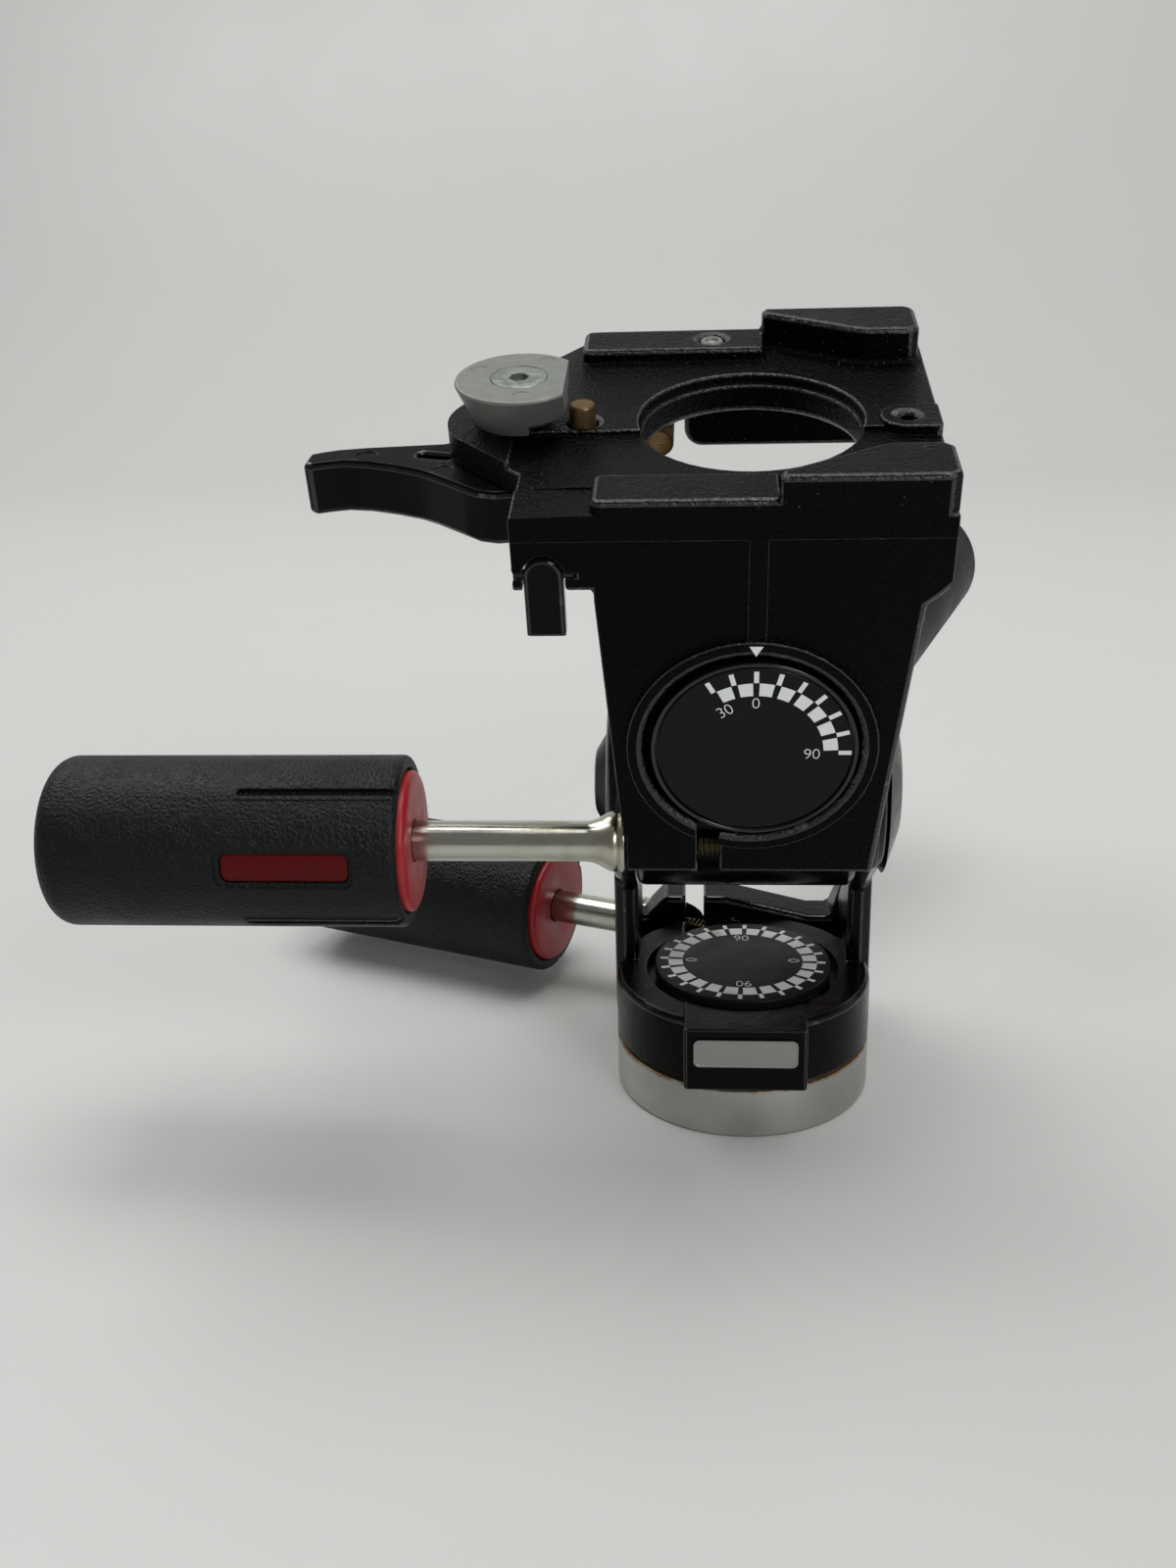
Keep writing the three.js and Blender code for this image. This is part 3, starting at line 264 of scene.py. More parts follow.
def enamel(name, grain, depth, rough, gloss=0.08, dust_from=999):
    """Black enamel over a casting: pebbled, dusty, its edges rubbed shiny and in places bare"""
    tone = chosen("enamel")
    finish = Finish(name, tone, rough, specular=gloss)
    patches = finish.noise(90, 4, 0.6)
    scuffs = finish.noise(420, 3, 0.7)
    dust = finish.ramp(finish.cells(700), (0.0, 1.0), (0.07, 0.9), (0.10, 0.0))
    sparse = finish.patches(finish.noise(75), 0.47, 0.6)
    high = finish.calc("GREATER_THAN", finish.height(), dust_from * MM)
    specks = finish.times(finish.times(dust, sparse), high)
    dusty = finish.mix(specks, tone, (0.17, 0.165, 0.145))
    rubbed = finish.attribute("wear")
    bare = finish.patches(finish.plus(patches, finish.times(scuffs, 0.5)), 0.86, 1.0)
    worn = finish.times(finish.times(rubbed, bare), 0.55)
    finish.paint(worn, dusty, (0.22, 0.22, 0.215))
    finish.feed("Metallic", finish.times(worn, 0.8))
    finish.feed("Specular IOR Level", finish.ramp(rubbed, (0.2, gloss), (0.8, 0.6)))
    mottled = finish.ramp(patches, (0.25, rough - 0.07), (0.75, rough + 0.09))
    finish.feed("Roughness", finish.calc("SUBTRACT", mottled, finish.times(rubbed, 0.06)))
    fine = finish.times(finish.noise(grain * 2.7, 2), 0.4)
    finish.bump(finish.plus(finish.noise(grain, 2), fine), depth)
    return finish.material


def rubber():
    """Grip rubber with a leather-like grain"""
    tone = chosen("rubber")
    finish = Finish("grip rubber", tone, 0.46, specular=0.2)
    swirl = finish.noise(120, 2)
    place = finish.nodes.new("ShaderNodeVectorMath")
    place.operation = "MULTIPLY_ADD"
    finish.links.new(swirl, place.inputs[0])
    place.inputs[1].default_value = (0.004, 0.004, 0.004)
    finish.links.new(finish.place, place.inputs[2])
    creases = finish.patches(finish.cells(820, "DISTANCE_TO_EDGE", place.outputs["Vector"]), 0.0, 0.3)
    pores = finish.noise(1700, 3, 0.6)
    swell = finish.noise(260, 3, 0.55)
    finish.bump(finish.plus(creases, finish.times(pores, 0.5)), 0.15, 0.8)
    finish.bump(swell, 0.3, 0.7)
    finish.rough(finish.noise(70), (0.3, 0.40), (0.7, 0.54))
    lint = finish.specks(850, 45, 0.55, 0.66)
    finish.paint(lint, tone, (0.10, 0.10, 0.095))
    return finish.material


def red_plastic(name="red plastic", share=1.0, gloss=0.5):
    """Moulded red plastic, slightly mottled"""
    tone = shaded(chosen("red"), share)
    finish = Finish(name, tone, 0.42, specular=gloss)
    finish.bump(finish.noise(900, 2), 0.03, 0.6)
    darker = finish.patches(finish.noise(120), 0.35, 0.7)
    finish.paint(darker, tone, shaded(tone, 0.78))
    finish.rough(finish.noise(200, 3), (0.3, 0.34), (0.7, 0.5))
    return finish.material


def plated_steel():
    """Plated rods: bright, slightly yellow, drawn and scratched along their length, with painted shade on
    their threads
    """
    tone = chosen("plated")
    finish = Finish("plated steel", tone, 0.26, 1.0)
    drawn = finish.noise(1.0, 4, 0.7, finish.stretched((60, 1400, 1400)))
    blotches = finish.noise(110, 4, 0.6)
    plated = finish.mix(finish.patches(blotches, 0.42, 0.66), tone, (0.42, 0.40, 0.30))
    # Painted shade: the marked faces, the screws' threads, turn dark brown where they sit in the castings'
    # slits
    finish.paint(finish.attribute("wear"), plated, (0.10, 0.078, 0.04))
    mottled = finish.times(finish.plus(drawn, blotches), 0.5)
    finish.rough(mottled, (0.36, 0.12), (0.66, 0.32))
    finish.bump(drawn, 0.012, 0.6)
    return finish.material


def base_metal():
    """Satin base ring, with a brown stain that creeps down from its top edge"""
    tone = chosen("base_metal")
    finish = Finish("satin base metal", tone, 0.36, 1.0)
    turned = finish.noise(1.0, 3, 0.6, finish.stretched((25, 25, 2600)))
    cloud = finish.noise(55, 4, 0.6)
    height = finish.calc("DIVIDE", finish.height(), casting("base_height") * MM)
    ragged = finish.plus(height, finish.times(finish.noise(170, 4, 0.75), 0.22))
    edge = finish.patches(finish.times(ragged, 0.9), 0.955, 0.995)
    clean = finish.mix(finish.patches(cloud, 0.35, 0.7), tone, shaded(tone, 0.82))
    finish.paint(edge, clean, (0.19, 0.105, 0.042))
    finish.feed("Metallic", finish.ramp(edge, (0.2, 1.0), (0.8, 0.25)))
    mottled = finish.times(finish.plus(turned, cloud), 0.5)
    finish.rough(mottled, (0.35, 0.28), (0.68, 0.47))
    finish.bump(turned, 0.008, 0.5)
    return finish.material


def stained_steel():
    """Brown stained washer, seen as a thin line under the housing"""
    finish = Finish("stained washer", (0.10, 0.045, 0.018), 0.75, 0.2)
    stain = finish.noise(240, 4, 0.7)
    finish.feed("Base Color", finish.ramp(stain, (0.35, (0.045, 0.027, 0.012)), (0.7, (0.21, 0.125, 0.055))))
    finish.bump(finish.noise(800, 3), 0.05)
    return finish.material


def cast_zinc():
    """Dull grey zinc with rubbed patches"""
    tone = chosen("zinc")
    finish = Finish("cast zinc", tone, 0.5, 0.35)
    marks = finish.noise(260, 5, 0.65)
    finish.paint(finish.patches(marks, 0.4, 0.68), tone, shaded(tone, 1.28))
    finish.rough(marks, (0.35, 0.56), (0.7, 0.36))
    finish.bump(finish.noise(1100, 3), 0.03, 0.6)
    finish.bump(finish.noise(1.0, 3, 0.7, finish.stretched((1500, 1500, 90))), 0.03, 0.5)
    return finish.material


def dull_brass():
    """Stained brass of the release pin and the brake shoe"""
    tone = chosen("brass")
    finish = Finish("dull brass", tone, 0.42, 0.9)
    stain = finish.noise(480, 4, 0.65)
    finish.paint(finish.patches(stain, 0.42, 0.68), tone, (0.075, 0.04, 0.02))
    finish.rough(stain, (0.35, 0.34), (0.7, 0.6))
    return finish.material


def dial_black():
    """Black sheet of the dials, with a little dust"""
    tone = (0.0050, 0.0052, 0.0056)
    finish = Finish("dial black", tone, 0.34, specular=0.14)
    finish.rough(finish.noise(260, 4, 0.6), (0.35, 0.30), (0.7, 0.44))
    dust = finish.specks(900, 90, 0.55, 0.62)
    finish.paint(dust, tone, (0.14, 0.135, 0.12))
    finish.bump(finish.noise(1500, 2), 0.008, 0.5)
    return finish.material


def dial_rim():
    """Glossy black rim round the side dial"""
    finish = Finish("dial rim", (0.004, 0.004, 0.0045), 0.2, specular=0.5)
    finish.rough(finish.noise(320, 3, 0.6), (0.35, 0.14), (0.7, 0.28))
    finish.bump(finish.noise(900, 2), 0.006, 0.5)
    return finish.material


def screw_steel():
    """Plated screw head, greyer and smoother than the dog round it"""
    finish = Finish("screw steel", (0.26, 0.28, 0.26), 0.34, 0.7)
    marks = finish.noise(520, 5, 0.7)
    finish.feed("Base Color", finish.ramp(marks, (0.35, (0.20, 0.215, 0.20)), (0.7, (0.36, 0.38, 0.35))))
    finish.rough(marks, (0.35, 0.28), (0.7, 0.48))
    finish.bump(finish.noise(1500, 3), 0.012, 0.6)
    return finish.material


def dark_steel():
    """Blackened steel of the small hidden parts"""
    finish = Finish("dark steel", (0.02, 0.02, 0.021), 0.4, 0.6)
    finish.rough(finish.noise(600, 3), (0.35, 0.32), (0.7, 0.55))
    finish.bump(finish.noise(1600, 2), 0.01, 0.5)
    return finish.material


def spring_brass():
    """Brighter brass of the return spring's wire"""
    finish = Finish("spring brass", chosen("brass"), 0.3, 0.9)
    darker = finish.patches(finish.noise(700, 3, 0.6), 0.4, 0.7)
    finish.paint(darker, (0.52, 0.37, 0.21), (0.32, 0.20, 0.10))
    finish.rough(finish.noise(900), (0.35, 0.22), (0.7, 0.42))
    return finish.material


def dial_paint():
    """White paint of the dial marks, yellowed in places"""
    tone = chosen("paint")
    finish = Finish("dial paint", tone, 0.5)
    yellowed = finish.patches(finish.noise(70, 2), 0.66, 0.74)
    finish.paint(yellowed, tone, (0.50, 0.42, 0.29))
    finish.bump(finish.noise(1800, 2), 0.01, 0.5)
    return finish.material


def name_silver():
    """Brushed silver of the blank name plate"""
    finish = Finish("name plate silver", (0.34, 0.34, 0.325), 0.42, 0.85)
    finish.rough(finish.noise(420, 4, 0.65), (0.35, 0.30), (0.7, 0.52))
    finish.bump(finish.noise(1.0, 3, 0.6, finish.stretched((140, 1400, 2400))), 0.01, 0.6)
    return finish.material


def stage_paint():
    """Pale floor and backdrop, with a few specks"""
    tone = chosen("floor")
    finish = Finish("pale floor", tone, 0.42)
    finish.rough(finish.noise(7, 4, 0.6), (0.3, 0.36), (0.7, 0.52))
    grime = finish.times(finish.ramp(finish.cells(26), (0.0, 1.0), (0.02, 0.0)), 0.25)
    finish.paint(grime, tone, (0.25, 0.25, 0.24))
    return finish.material


FINISHES = {
    "satin enamel": lambda: enamel("satin enamel", 330, 0.1, 0.24, 0.1),
    "wrinkle enamel": lambda: enamel("wrinkle enamel", 1150, 0.42, 0.28, 0.055, 148),
    "smooth enamel": lambda: enamel("smooth enamel", 300, 0.015, 0.22, 0.1),
    "grip rubber": rubber,
    "red plastic": red_plastic,
    "window red": lambda: red_plastic("window red", 0.28, 0.15),
    "plated steel": plated_steel,
    "satin base metal": base_metal,
    "stained washer": stained_steel,
    "cast zinc": cast_zinc,
    "dull brass": dull_brass,
    "dial black": dial_black,
    "dial rim": dial_rim,
    "dial paint": dial_paint,
    "screw steel": screw_steel,
    "dark steel": dark_steel,
    "spring brass": spring_brass,
    "name plate silver": name_silver,
    "pale floor": stage_paint,
}


def finish_of(name):
    return bpy.data.materials.get(name) or FINISHES[name]()


# Shaping, in millimetres, in the frame that the piece is drawn in


def put(bm, place):
    bmesh.ops.transform(bm, matrix=place, verts=bm.verts)


def new_corners(raised):
    """The corners among what an extrude returns"""
    return [item for item in raised["geom"] if isinstance(item, bmesh.types.BMVert)]


def turned(profile, axis="Z", steps=96, at=(0, 0, 0)):
    """A closed turned piece from [radius, place along the axis] pairs"""
    bm = bmesh.new()
    ring = [bm.verts.new((radius, 0, place)) for radius, place in profile]
    edges = [bm.edges.new(pair) for pair in zip(ring, ring[1:])]
    if profile[0][0] > 0:
        edges.append(bm.edges.new((ring[-1], ring[0])))
    bmesh.ops.spin(
        bm, geom=ring + edges, cent=(0, 0, 0), axis=(0, 0, 1), dvec=(0, 0, 0),
        angle=FULL_TURN, steps=steps, use_merge=True, use_duplicate=False,
    )
    bmesh.ops.remove_doubles(bm, verts=bm.verts, dist=SAME_SPOT)
    if axis == "X":
        put(bm, spun(90, "Y"))
    put(bm, moved(*at))
    bmesh.ops.recalc_face_normals(bm, faces=bm.faces)
    return bm


def cylinder(radius, low, high, steps=64, axis="Z", at=(0, 0, 0)):
    return turned([(0, low), (radius, low), (radius, high), (0, high)], axis, steps, at)


def slab(outline, low, high):
    """An outline in X and Y, raised from one height to another"""
    bm = bmesh.new()
    face = bm.faces.new([bm.verts.new((x, y, low)) for x, y in outline])
    raised = bmesh.ops.extrude_face_region(bm, geom=[face])
    bmesh.ops.translate(bm, verts=new_corners(raised), vec=(0, 0, high - low))
    bmesh.ops.recalc_face_normals(bm, faces=bm.faces)
    return bm


def block(low, high):
    """A box between two opposite corners"""
    bm = bmesh.new()
    bmesh.ops.create_cube(bm, size=1)
    size = [b - a for a, b in zip(low, high)]
    bmesh.ops.scale(bm, verts=bm.verts, vec=size)
    put(bm, moved(*((a + b) / 2 for a, b in zip(low, high))))
    return bm


def arc(x, y, radius, start, end, steps):
    """Points of an arc, angles in degrees"""
    turns = [math.radians(start + (end - start) * i / steps) for i in range(steps + 1)]
    return [(x + radius * math.cos(t), y + radius * math.sin(t)) for t in turns]


def linked(name, data):
    """A new object in the scene"""
    thing = bpy.data.objects.new(name, data)
    bpy.context.scene.collection.objects.link(thing)
    return thing


def as_mesh(bm, name="spare"):
    mesh = bpy.data.meshes.new(name)
    bm.to_mesh(mesh)
    bm.free()
    return mesh


def spare_object(bm):
    return linked("spare", as_mesh(bm))


def drop(thing):
    mesh = thing.data
    bpy.data.objects.remove(thing)
    bpy.data.meshes.remove(mesh)


def combined(kind, body, *tools):
    """Joins tools to a body, or cuts them out of it"""
    whole = spare_object(body)
    for tool in tools:
        other = spare_object(tool)
        step = whole.modifiers.new("step", "BOOLEAN")
        step.operation = kind
        step.solver = "EXACT"
        step.object = other
        result = bmesh.new()
        result.from_object(whole, bpy.context.evaluated_depsgraph_get())
        drop(other)
        drop(whole)
        whole = spare_object(result)
    result = bmesh.new()
    result.from_mesh(whole.data)
    drop(whole)
    return result


def cut(body, *tools):
    return combined("DIFFERENCE", body, *tools)


def fused(body, *tools):
    return combined("UNION", body, *tools)


def together(body, *others):
    """Puts several closed shells into one mesh"""
    for other in others:
        mesh = as_mesh(other)
        body.from_mesh(mesh)
        bpy.data.meshes.remove(mesh)
    return body


# Shares of a face and of a side edge that one rounding may take up
FACE_SHARE, SIDE_SHARE = 0.38, 0.42


def room_beside(edge, sharp):
    """How wide an edge can be rounded before it meets the next edge of its faces, or a side edge"""
    start = edge.verts[0].co
    along = (edge.verts[1].co - start).normalized()
    room = []
    for face in edge.link_faces:
        offsets = [corner.co - start for corner in face.verts]
        room.append(FACE_SHARE * max((offset - along * offset.dot(along)).length for offset in offsets))
    for corner in edge.verts:
        for other in corner.link_edges:
            if other in sharp and other is not edge and not carries_on(edge, other, corner):
                room.append(SIDE_SHARE * other.calc_length())
    return min(room)


def carries_on(edge, other, corner):
    """True if the other edge goes on from this corner in nearly the same direction"""
    out = (edge.other_vert(corner).co - corner.co).normalized()
    onward = (other.other_vert(corner).co - corner.co).normalized()
    return out.dot(onward) < -0.8


def chains_of(sharp):
    """Runs of sharp edges that carry on from one to the next, which share one rounding"""
    left = set(sharp)
    while left:
        run, ends = [], [left.pop()]
        while ends:
            edge = ends.pop()
            run.append(edge)
            for corner in edge.verts:
                for other in corner.link_edges:
                    if other in left and carries_on(edge, other, corner):
                        left.discard(other)
                        ends.append(other)
        yield run


TRIES = 3


def soften(bm, width, steps=3, sharper_than=24):
    """Rounds each sharp edge as far as its faces leave room, and marks the strips that get rubbed

    A rounding that throws a corner far off the original skin is tried again with less width.
    What still strays is laid on the skin.
    """
    bmesh.ops.remove_doubles(bm, verts=bm.verts, dist=CAD_SPOT)
    bmesh.ops.dissolve_degenerate(bm, dist=1e-3, edges=bm.edges)
    bmesh.ops.dissolve_limit(bm, angle_limit=math.radians(0.6), verts=bm.verts, edges=bm.edges)
    weight = bm.edges.layers.float.new("bevel_weight_edge")
    limit = math.radians(sharper_than)
    sharp = {edge for edge in bm.edges if edge.is_manifold and edge.calc_face_angle(0) > limit}
    runs = list(chains_of(sharp))
    for run in runs:
        room = min(room_beside(edge, sharp) for edge in run)
        for edge in run:
            edge[weight] = min(1.0, room / width)
    skin = BVHTree.FromBMesh(bm)
    for attempt in range(TRIES):
        result = rounded(bm, width, steps)
        strays = [corner for corner in result.verts if skin.find_nearest(corner.co)[3] > 0.4 * width]
        if not strays or attempt == TRIES - 1:
            break
        roots = [edge.other_vert(stray).co for stray in strays for edge in stray.link_edges]
        for run in runs:
            if any(passes(edge, root, 0.3 * width) for edge in run for root in roots):
                for edge in run:
                    edge[weight] *= 0.35
    for stray in strays:
        stray.co = skin.find_nearest(stray.co)[0]
    # On an inner corner nothing rubs
    wear = result.faces.layers.float["wear"]
    for face in result.faces:
        centre = face.calc_center_median()
        spot, normal = skin.find_nearest(centre)[:2]
        if (centre - spot).dot(normal) > 0:
            face[wear] = 0.0
    bm.free()
    bmesh.ops.triangulate(result, faces=[face for face in result.faces if len(face.verts) > 4])
    return result


def passes(edge, point, reach):
    """True if the edge runs past the point within the reach"""
    start, end = (corner.co for corner in edge.verts)
    nearest, share = geometry.intersect_point_line(point, start, end)
    nearest = start.lerp(end, min(1, max(0, share)))
    return (nearest - point).length < reach


def rounded(bm, width, steps):
    """A copy with its weighted edges rounded, and its new strips marked"""
    whole = spare_object(bm.copy())
    for tag in ("plain", "rounded"):
        whole.data.materials.append(bpy.data.materials.get(tag) or bpy.data.materials.new(tag))
    step = whole.modifiers.new("round", "BEVEL")
    step.width, step.segments, step.profile = width, steps, 0.5
    step.limit_method, step.use_clamp_overlap, step.material = "WEIGHT", False, 1
    result = bmesh.new()
    result.from_object(whole, bpy.context.evaluated_depsgraph_get())
    drop(whole)
    wear = result.faces.layers.float.new("wear")
    for face in result.faces:
        face[wear] = float(face.material_index == 1)
        face.material_index = 0
    return result


def cad_copy(name, place):
    """The named frame piece as a merged mesh, in millimetres in the frame it was drawn in"""
    bm = bmesh.new()
    bm.from_mesh(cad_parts[name].data)
    put(bm, place.inverted() @ Matrix.Scale(1 / MM, 4))
    bmesh.ops.remove_doubles(bm, verts=bm.verts, dist=CAD_SPOT)
    return bm


def finished(name, bm, place, body, finish, stands_for=(), slot=None, smooth=32, even=False):
    """Puts a shaped piece in its place, gives it its finish and lets it ride on its body"""
    put(bm, Matrix.Scale(MM, 4) @ place)
    mesh = as_mesh(bm, name)
    mesh.shade_smooth()
    mesh.set_sharp_from_angle(angle=math.radians(smooth))
    mesh.materials.append(finish_of(finish))
    piece = linked(name, mesh)
    if even:
        step = piece.modifiers.new("even shading", "WEIGHTED_NORMAL")
        step.keep_sharp = True
    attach(piece, body)
    if stands_for:
        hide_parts(*stands_for)
    return piece


# Pieces

# Metal that the platform casting loses at its near right side, to lie flush with the wedge
NEAR_SIDE = ((35.1, -60, 60), (50, -22, 100))

# Metal that the lever's spring pad loses, where the spring's end shows
SPRING_VIEW = ((-23.5, 11.5, 73.6), (-15.5, 15.5, 80))

# Round marks on the lever's top: place and radius
LEVER_MARKS = ((-76.9, -0.7, 2.3), (-60.4, -7.6, 2.0))

CASTINGS = [
    # name, frame, body, finish, slot, rounding
    ("pan_housing", UPRIGHT, "pan_fork", "satin enamel", "black_enamel", 1.3),
    ("tilt_body", TILTED, "tilt_block", "satin enamel", "black_enamel", 1.2),
    ("platform", TILTED, "platform_block", "wrinkle enamel", "wrinkle_enamel", 1.3),
    ("release_lever", TILTED, "lever", "smooth enamel", "black_enamel", 1.6),
    ("safety_catch", TILTED, "catch", "smooth enamel", "black_enamel", 0.5),
    ("axle_cap_left", UPRIGHT, "pan_fork", "smooth enamel", "black_enamel", 0.8),
    ("axle_cap_right", UPRIGHT, "pan_fork", "smooth enamel", "black_enamel", 0.8),
]

PLAIN = {
    "pan_washer": "stained washer",
    "pan_spindle": "plated steel",
    "tilt_axle": "plated steel",
    "side_spindle": "plated steel",
    "brake_shoe": "dull brass",
    "catch_pin": "dark steel",
}


class HEAD_OT_castings(bpy.types.Operator):
    """Rounds the castings' edges and enamels them"""

    bl_idname = "head.castings"
    bl_label = "Castings"

    def execute(self, context):
        for name, place, body, finish, slot, rounding in CASTINGS:
            shape = cad_copy(name, place)
            if name == "release_lever":
                shape = cut(shape, block(*SPRING_VIEW), *self.round_marks(shape))
            if name == "platform":
                shape = cut(shape, block(*NEAR_SIDE))
            shape = soften(shape, rounding * context.scene.casting_sizes.edge_round)
            finished(name + "_skin", shape, place, body, finish, (name,), slot, even=True)
        for name, finish in PLAIN.items():
            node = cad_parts[name]
            node.data.materials.clear()
            node.data.materials.append(finish_of(finish))
        return {"FINISHED"}

    def round_marks(self, lever):
        """The shallow round marks that ejector pins leave on the lever's top"""
        top = max(corner.co.z for corner in lever.verts)
        return [cylinder(size, top - 0.18, top + 1, 32, at=(x, y, 0)) for x, y, size in LEVER_MARKS]


class HEAD_OT_base(bpy.types.Operator):
    """Turns the base ring and makes the name plate"""

    bl_idname = "head.base"
    bl_label = "Base and name plate"

    def execute(self, context):
        radius, height = casting("base_radius"), casting("base_height")
        socket, spindle_room, floor = 4.76, 10.3, 8
        profile = [(socket, 0), (radius - 0.9, 0), *arc(radius - 0.9, 0.9, 0.9, -90, 0, 5)]
        profile += [*arc(radius - 0.5, height - 0.5, 0.5, 0, 90, 5), (spindle_room, height)]
        profile += [(spindle_room, floor), (socket, floor)]
        ring = turned(profile, steps=128)
        finished("base_turning", ring, UPRIGHT, "base", "satin base metal", ("base_ring",), "aluminium")
        self.name_plate()
        return {"FINISHED"}

    def name_plate(self):
        """A thin plate with rounded corners and a sunk field, left blank"""
        back, half, top, low = -32.1, 11.5, 26.2, 19.6
        outline = rounded_outline(-half, half, low, top, 1.3)
        plate = slab(outline, 0, 0.42)
        face = max(plate.faces, key=lambda face: face.calc_center_median().z)
        bmesh.ops.inset_region(plate, faces=[face], thickness=0.38, depth=0)
        inner = [face for face in plate.faces if face.calc_center_median().z > 0.4 and len(face.verts) > 4]
        bmesh.ops.inset_region(plate, faces=inner, thickness=0.12, depth=-0.1)
        place = moved(0, back, 0) @ spun(90, "X")
        finished(
            "name_plate_blank", plate, place, "pan_fork", "name plate silver",
            ("name_plate",), "silver", smooth=20,
        )


def rounded_outline(x0, x1, y0, y1, size, steps=6):
    return [
        *arc(x1 - size, y0 + size, size, -90, 0, steps),
        *arc(x1 - size, y1 - size, size, 0, 90, steps),
        *arc(x0 + size, y1 - size, size, 90, 180, steps),
        *arc(x0 + size, y0 + size, size, 180, 270, steps),
    ]


# Thickness of the dials' paint, and how deep it sits in the face
PAINT, SUNK = 0.05, 0.01


def painted_block(inner, outer, start, end, steps=4):
    """A printed block between two radii and two angles, in degrees to the right of the top"""
    far = arc(0, 0, outer, 90 - start, 90 - end, steps)
    near = arc(0, 0, inner, 90 - end, 90 - start, steps)
    return slab(far + near, 0, PAINT)


def painted_tick(inner, outer, angle, width):
    half = width / 2
    tick = slab([(-half, inner), (half, inner), (half, outer), (-half, outer)], 0, PAINT)
    put(tick, spun(-angle, "Z"))
    return tick


# Height of a figure as a share of its font's size
FIGURE_SHARE = 0.72


def painted_words(words, height, x, y, turn):
    """Printed figures, as a thin mesh"""
    curve = bpy.data.curves.new("figures", "FONT")
    curve.body = words
    curve.size = height / FIGURE_SHARE
    curve.space_character = 0.95
    curve.align_x, curve.align_y = "CENTER", "CENTER"
    curve.resolution_u = 4
    curve.extrude = PAINT / 2
    curve.offset = -0.018 * curve.size
    holder = linked("figures", curve)
    graph = bpy.context.evaluated_depsgraph_get()
    mesh = bpy.data.meshes.new_from_object(holder.evaluated_get(graph))
    bm = bmesh.new()
    bm.from_mesh(mesh)
    bmesh.ops.remove_doubles(bm, verts=bm.verts, dist=SAME_SPOT)
    bmesh.ops.recalc_face_normals(bm, faces=bm.faces)
    put(bm, moved(x, y, PAINT / 2) @ spun(turn, "Z"))
    bpy.data.objects.remove(holder)
    bpy.data.meshes.remove(mesh)
    bpy.data.curves.remove(curve)
    return bm


class HEAD_OT_dials(bpy.types.Operator):
    """Makes both dials with their marks, and the white index over the side dial"""

    bl_idname = "head.dials"
    bl_label = "Dials"

    def execute(self, context):
        self.side_dial()
        self.pan_dial()
        self.index()
        return {"FINISHED"}

    def side_dial(self):
        """Rim, black face, and marks every 15 degrees from 30 on the left to 90 on the right"""
        face = TILTED @ moved(0.5, -38.1, 36.8) @ spun(90, "X")
        profile = [(17.0, 0), (19.3, 0), (20.15, 1.0), *arc(19.7, 2.3, 0.45, 0, 90, 5)]
        profile += [*arc(19.65, 2.25, 0.5, 90, 180, 5), (19.3, 1.9), (19.1, 1.7), (17.0, 1.7)]
        rim = turned(profile, steps=160)
        finished(
            "side_dial_rim", rim, face, "tilt_block", "dial rim",
            ("side_dial_cap",), "dial_black", smooth=40,
        )
        low, top = 1.75, 2.35
        profile = [(0, low), (18.7, low), (18.9, 1.85), (18.9, 2.2), (18.7, top), (0, top)]
        label = turned(profile, steps=128)
        finished(
            "side_dial_face", label, face, "tilt_block", "dial black", ("side_dial_label",), "dial_black"
        )
        marks = [painted_tick(16.1, 18.6, angle, 0.95) for angle in range(-30, 91, 15)]
        marks += [painted_block(13.2, 16.0, angle + 2.3, angle + 12.7) for angle in range(-30, 90, 15)]
        spot = math.radians(-31)
        marks += [
            painted_words("30", 2.5, 11.3 * math.sin(spot), 11.3 * math.cos(spot), 30),
            painted_words("0", 2.5, 0, 11.4, 0),
            painted_words("90", 2.5, 11.0, -0.4, 0),
        ]
        marks = together(*marks)
        put(marks, moved(0.1, -0.5, top - SUNK))
        finished("side_dial_marks", marks, face, "tilt_block", "dial paint", (), "dial_black")

    def pan_dial(self):
        """A disc with marks all round, read from outside"""
        low, top = 27.7, 29.9
        disc = turned([(0, low), (20.9, low), *arc(20.5, top - 0.4, 0.4, 0, 90, 4), (0, top)], steps=128)
        finished("pan_dial_face", disc, UPRIGHT, "base", "dial black", ("pan_dial",), "dial_black")
        marks = [painted_tick(17.6, 19.6, angle + 3, 0.95) for angle in range(0, 360, 15)]
        marks += [painted_block(14.25, 17.6, angle + 5, angle + 16) for angle in range(0, 360, 15)]
        for words, turn in (("0", 90), ("90", 180), ("0", 270), ("90", 0)):
            spot = math.radians(turn)
            marks.append(painted_words(words, 2.9, 12.0 * math.sin(spot), 12.0 * math.cos(spot), -turn))
        marks = together(*marks)
        put(marks, moved(0, 0, top - SUNK))
        finished("pan_dial_marks", marks, UPRIGHT, "base", "dial paint", (), "dial_black")

    def index(self):
        """The white triangle on the platform that the side dial is read against"""
        mark = slab([(-0.9, 61.0), (0.4, 58.85), (1.7, 61.0)], 0, PAINT)
        place = TILTED @ moved(0, SUNK - 41.5, 0) @ spun(90, "X")
        finished("index_mark", mark, place, "platform_block", "dial paint", (), "wrinkle_enamel")


GRIP_STARTS_PAST_CAP = 3.2
MOUTH_OVER_CAP = 1.8
GROOVES_FROM_WINDOW = (-48.5, 52)

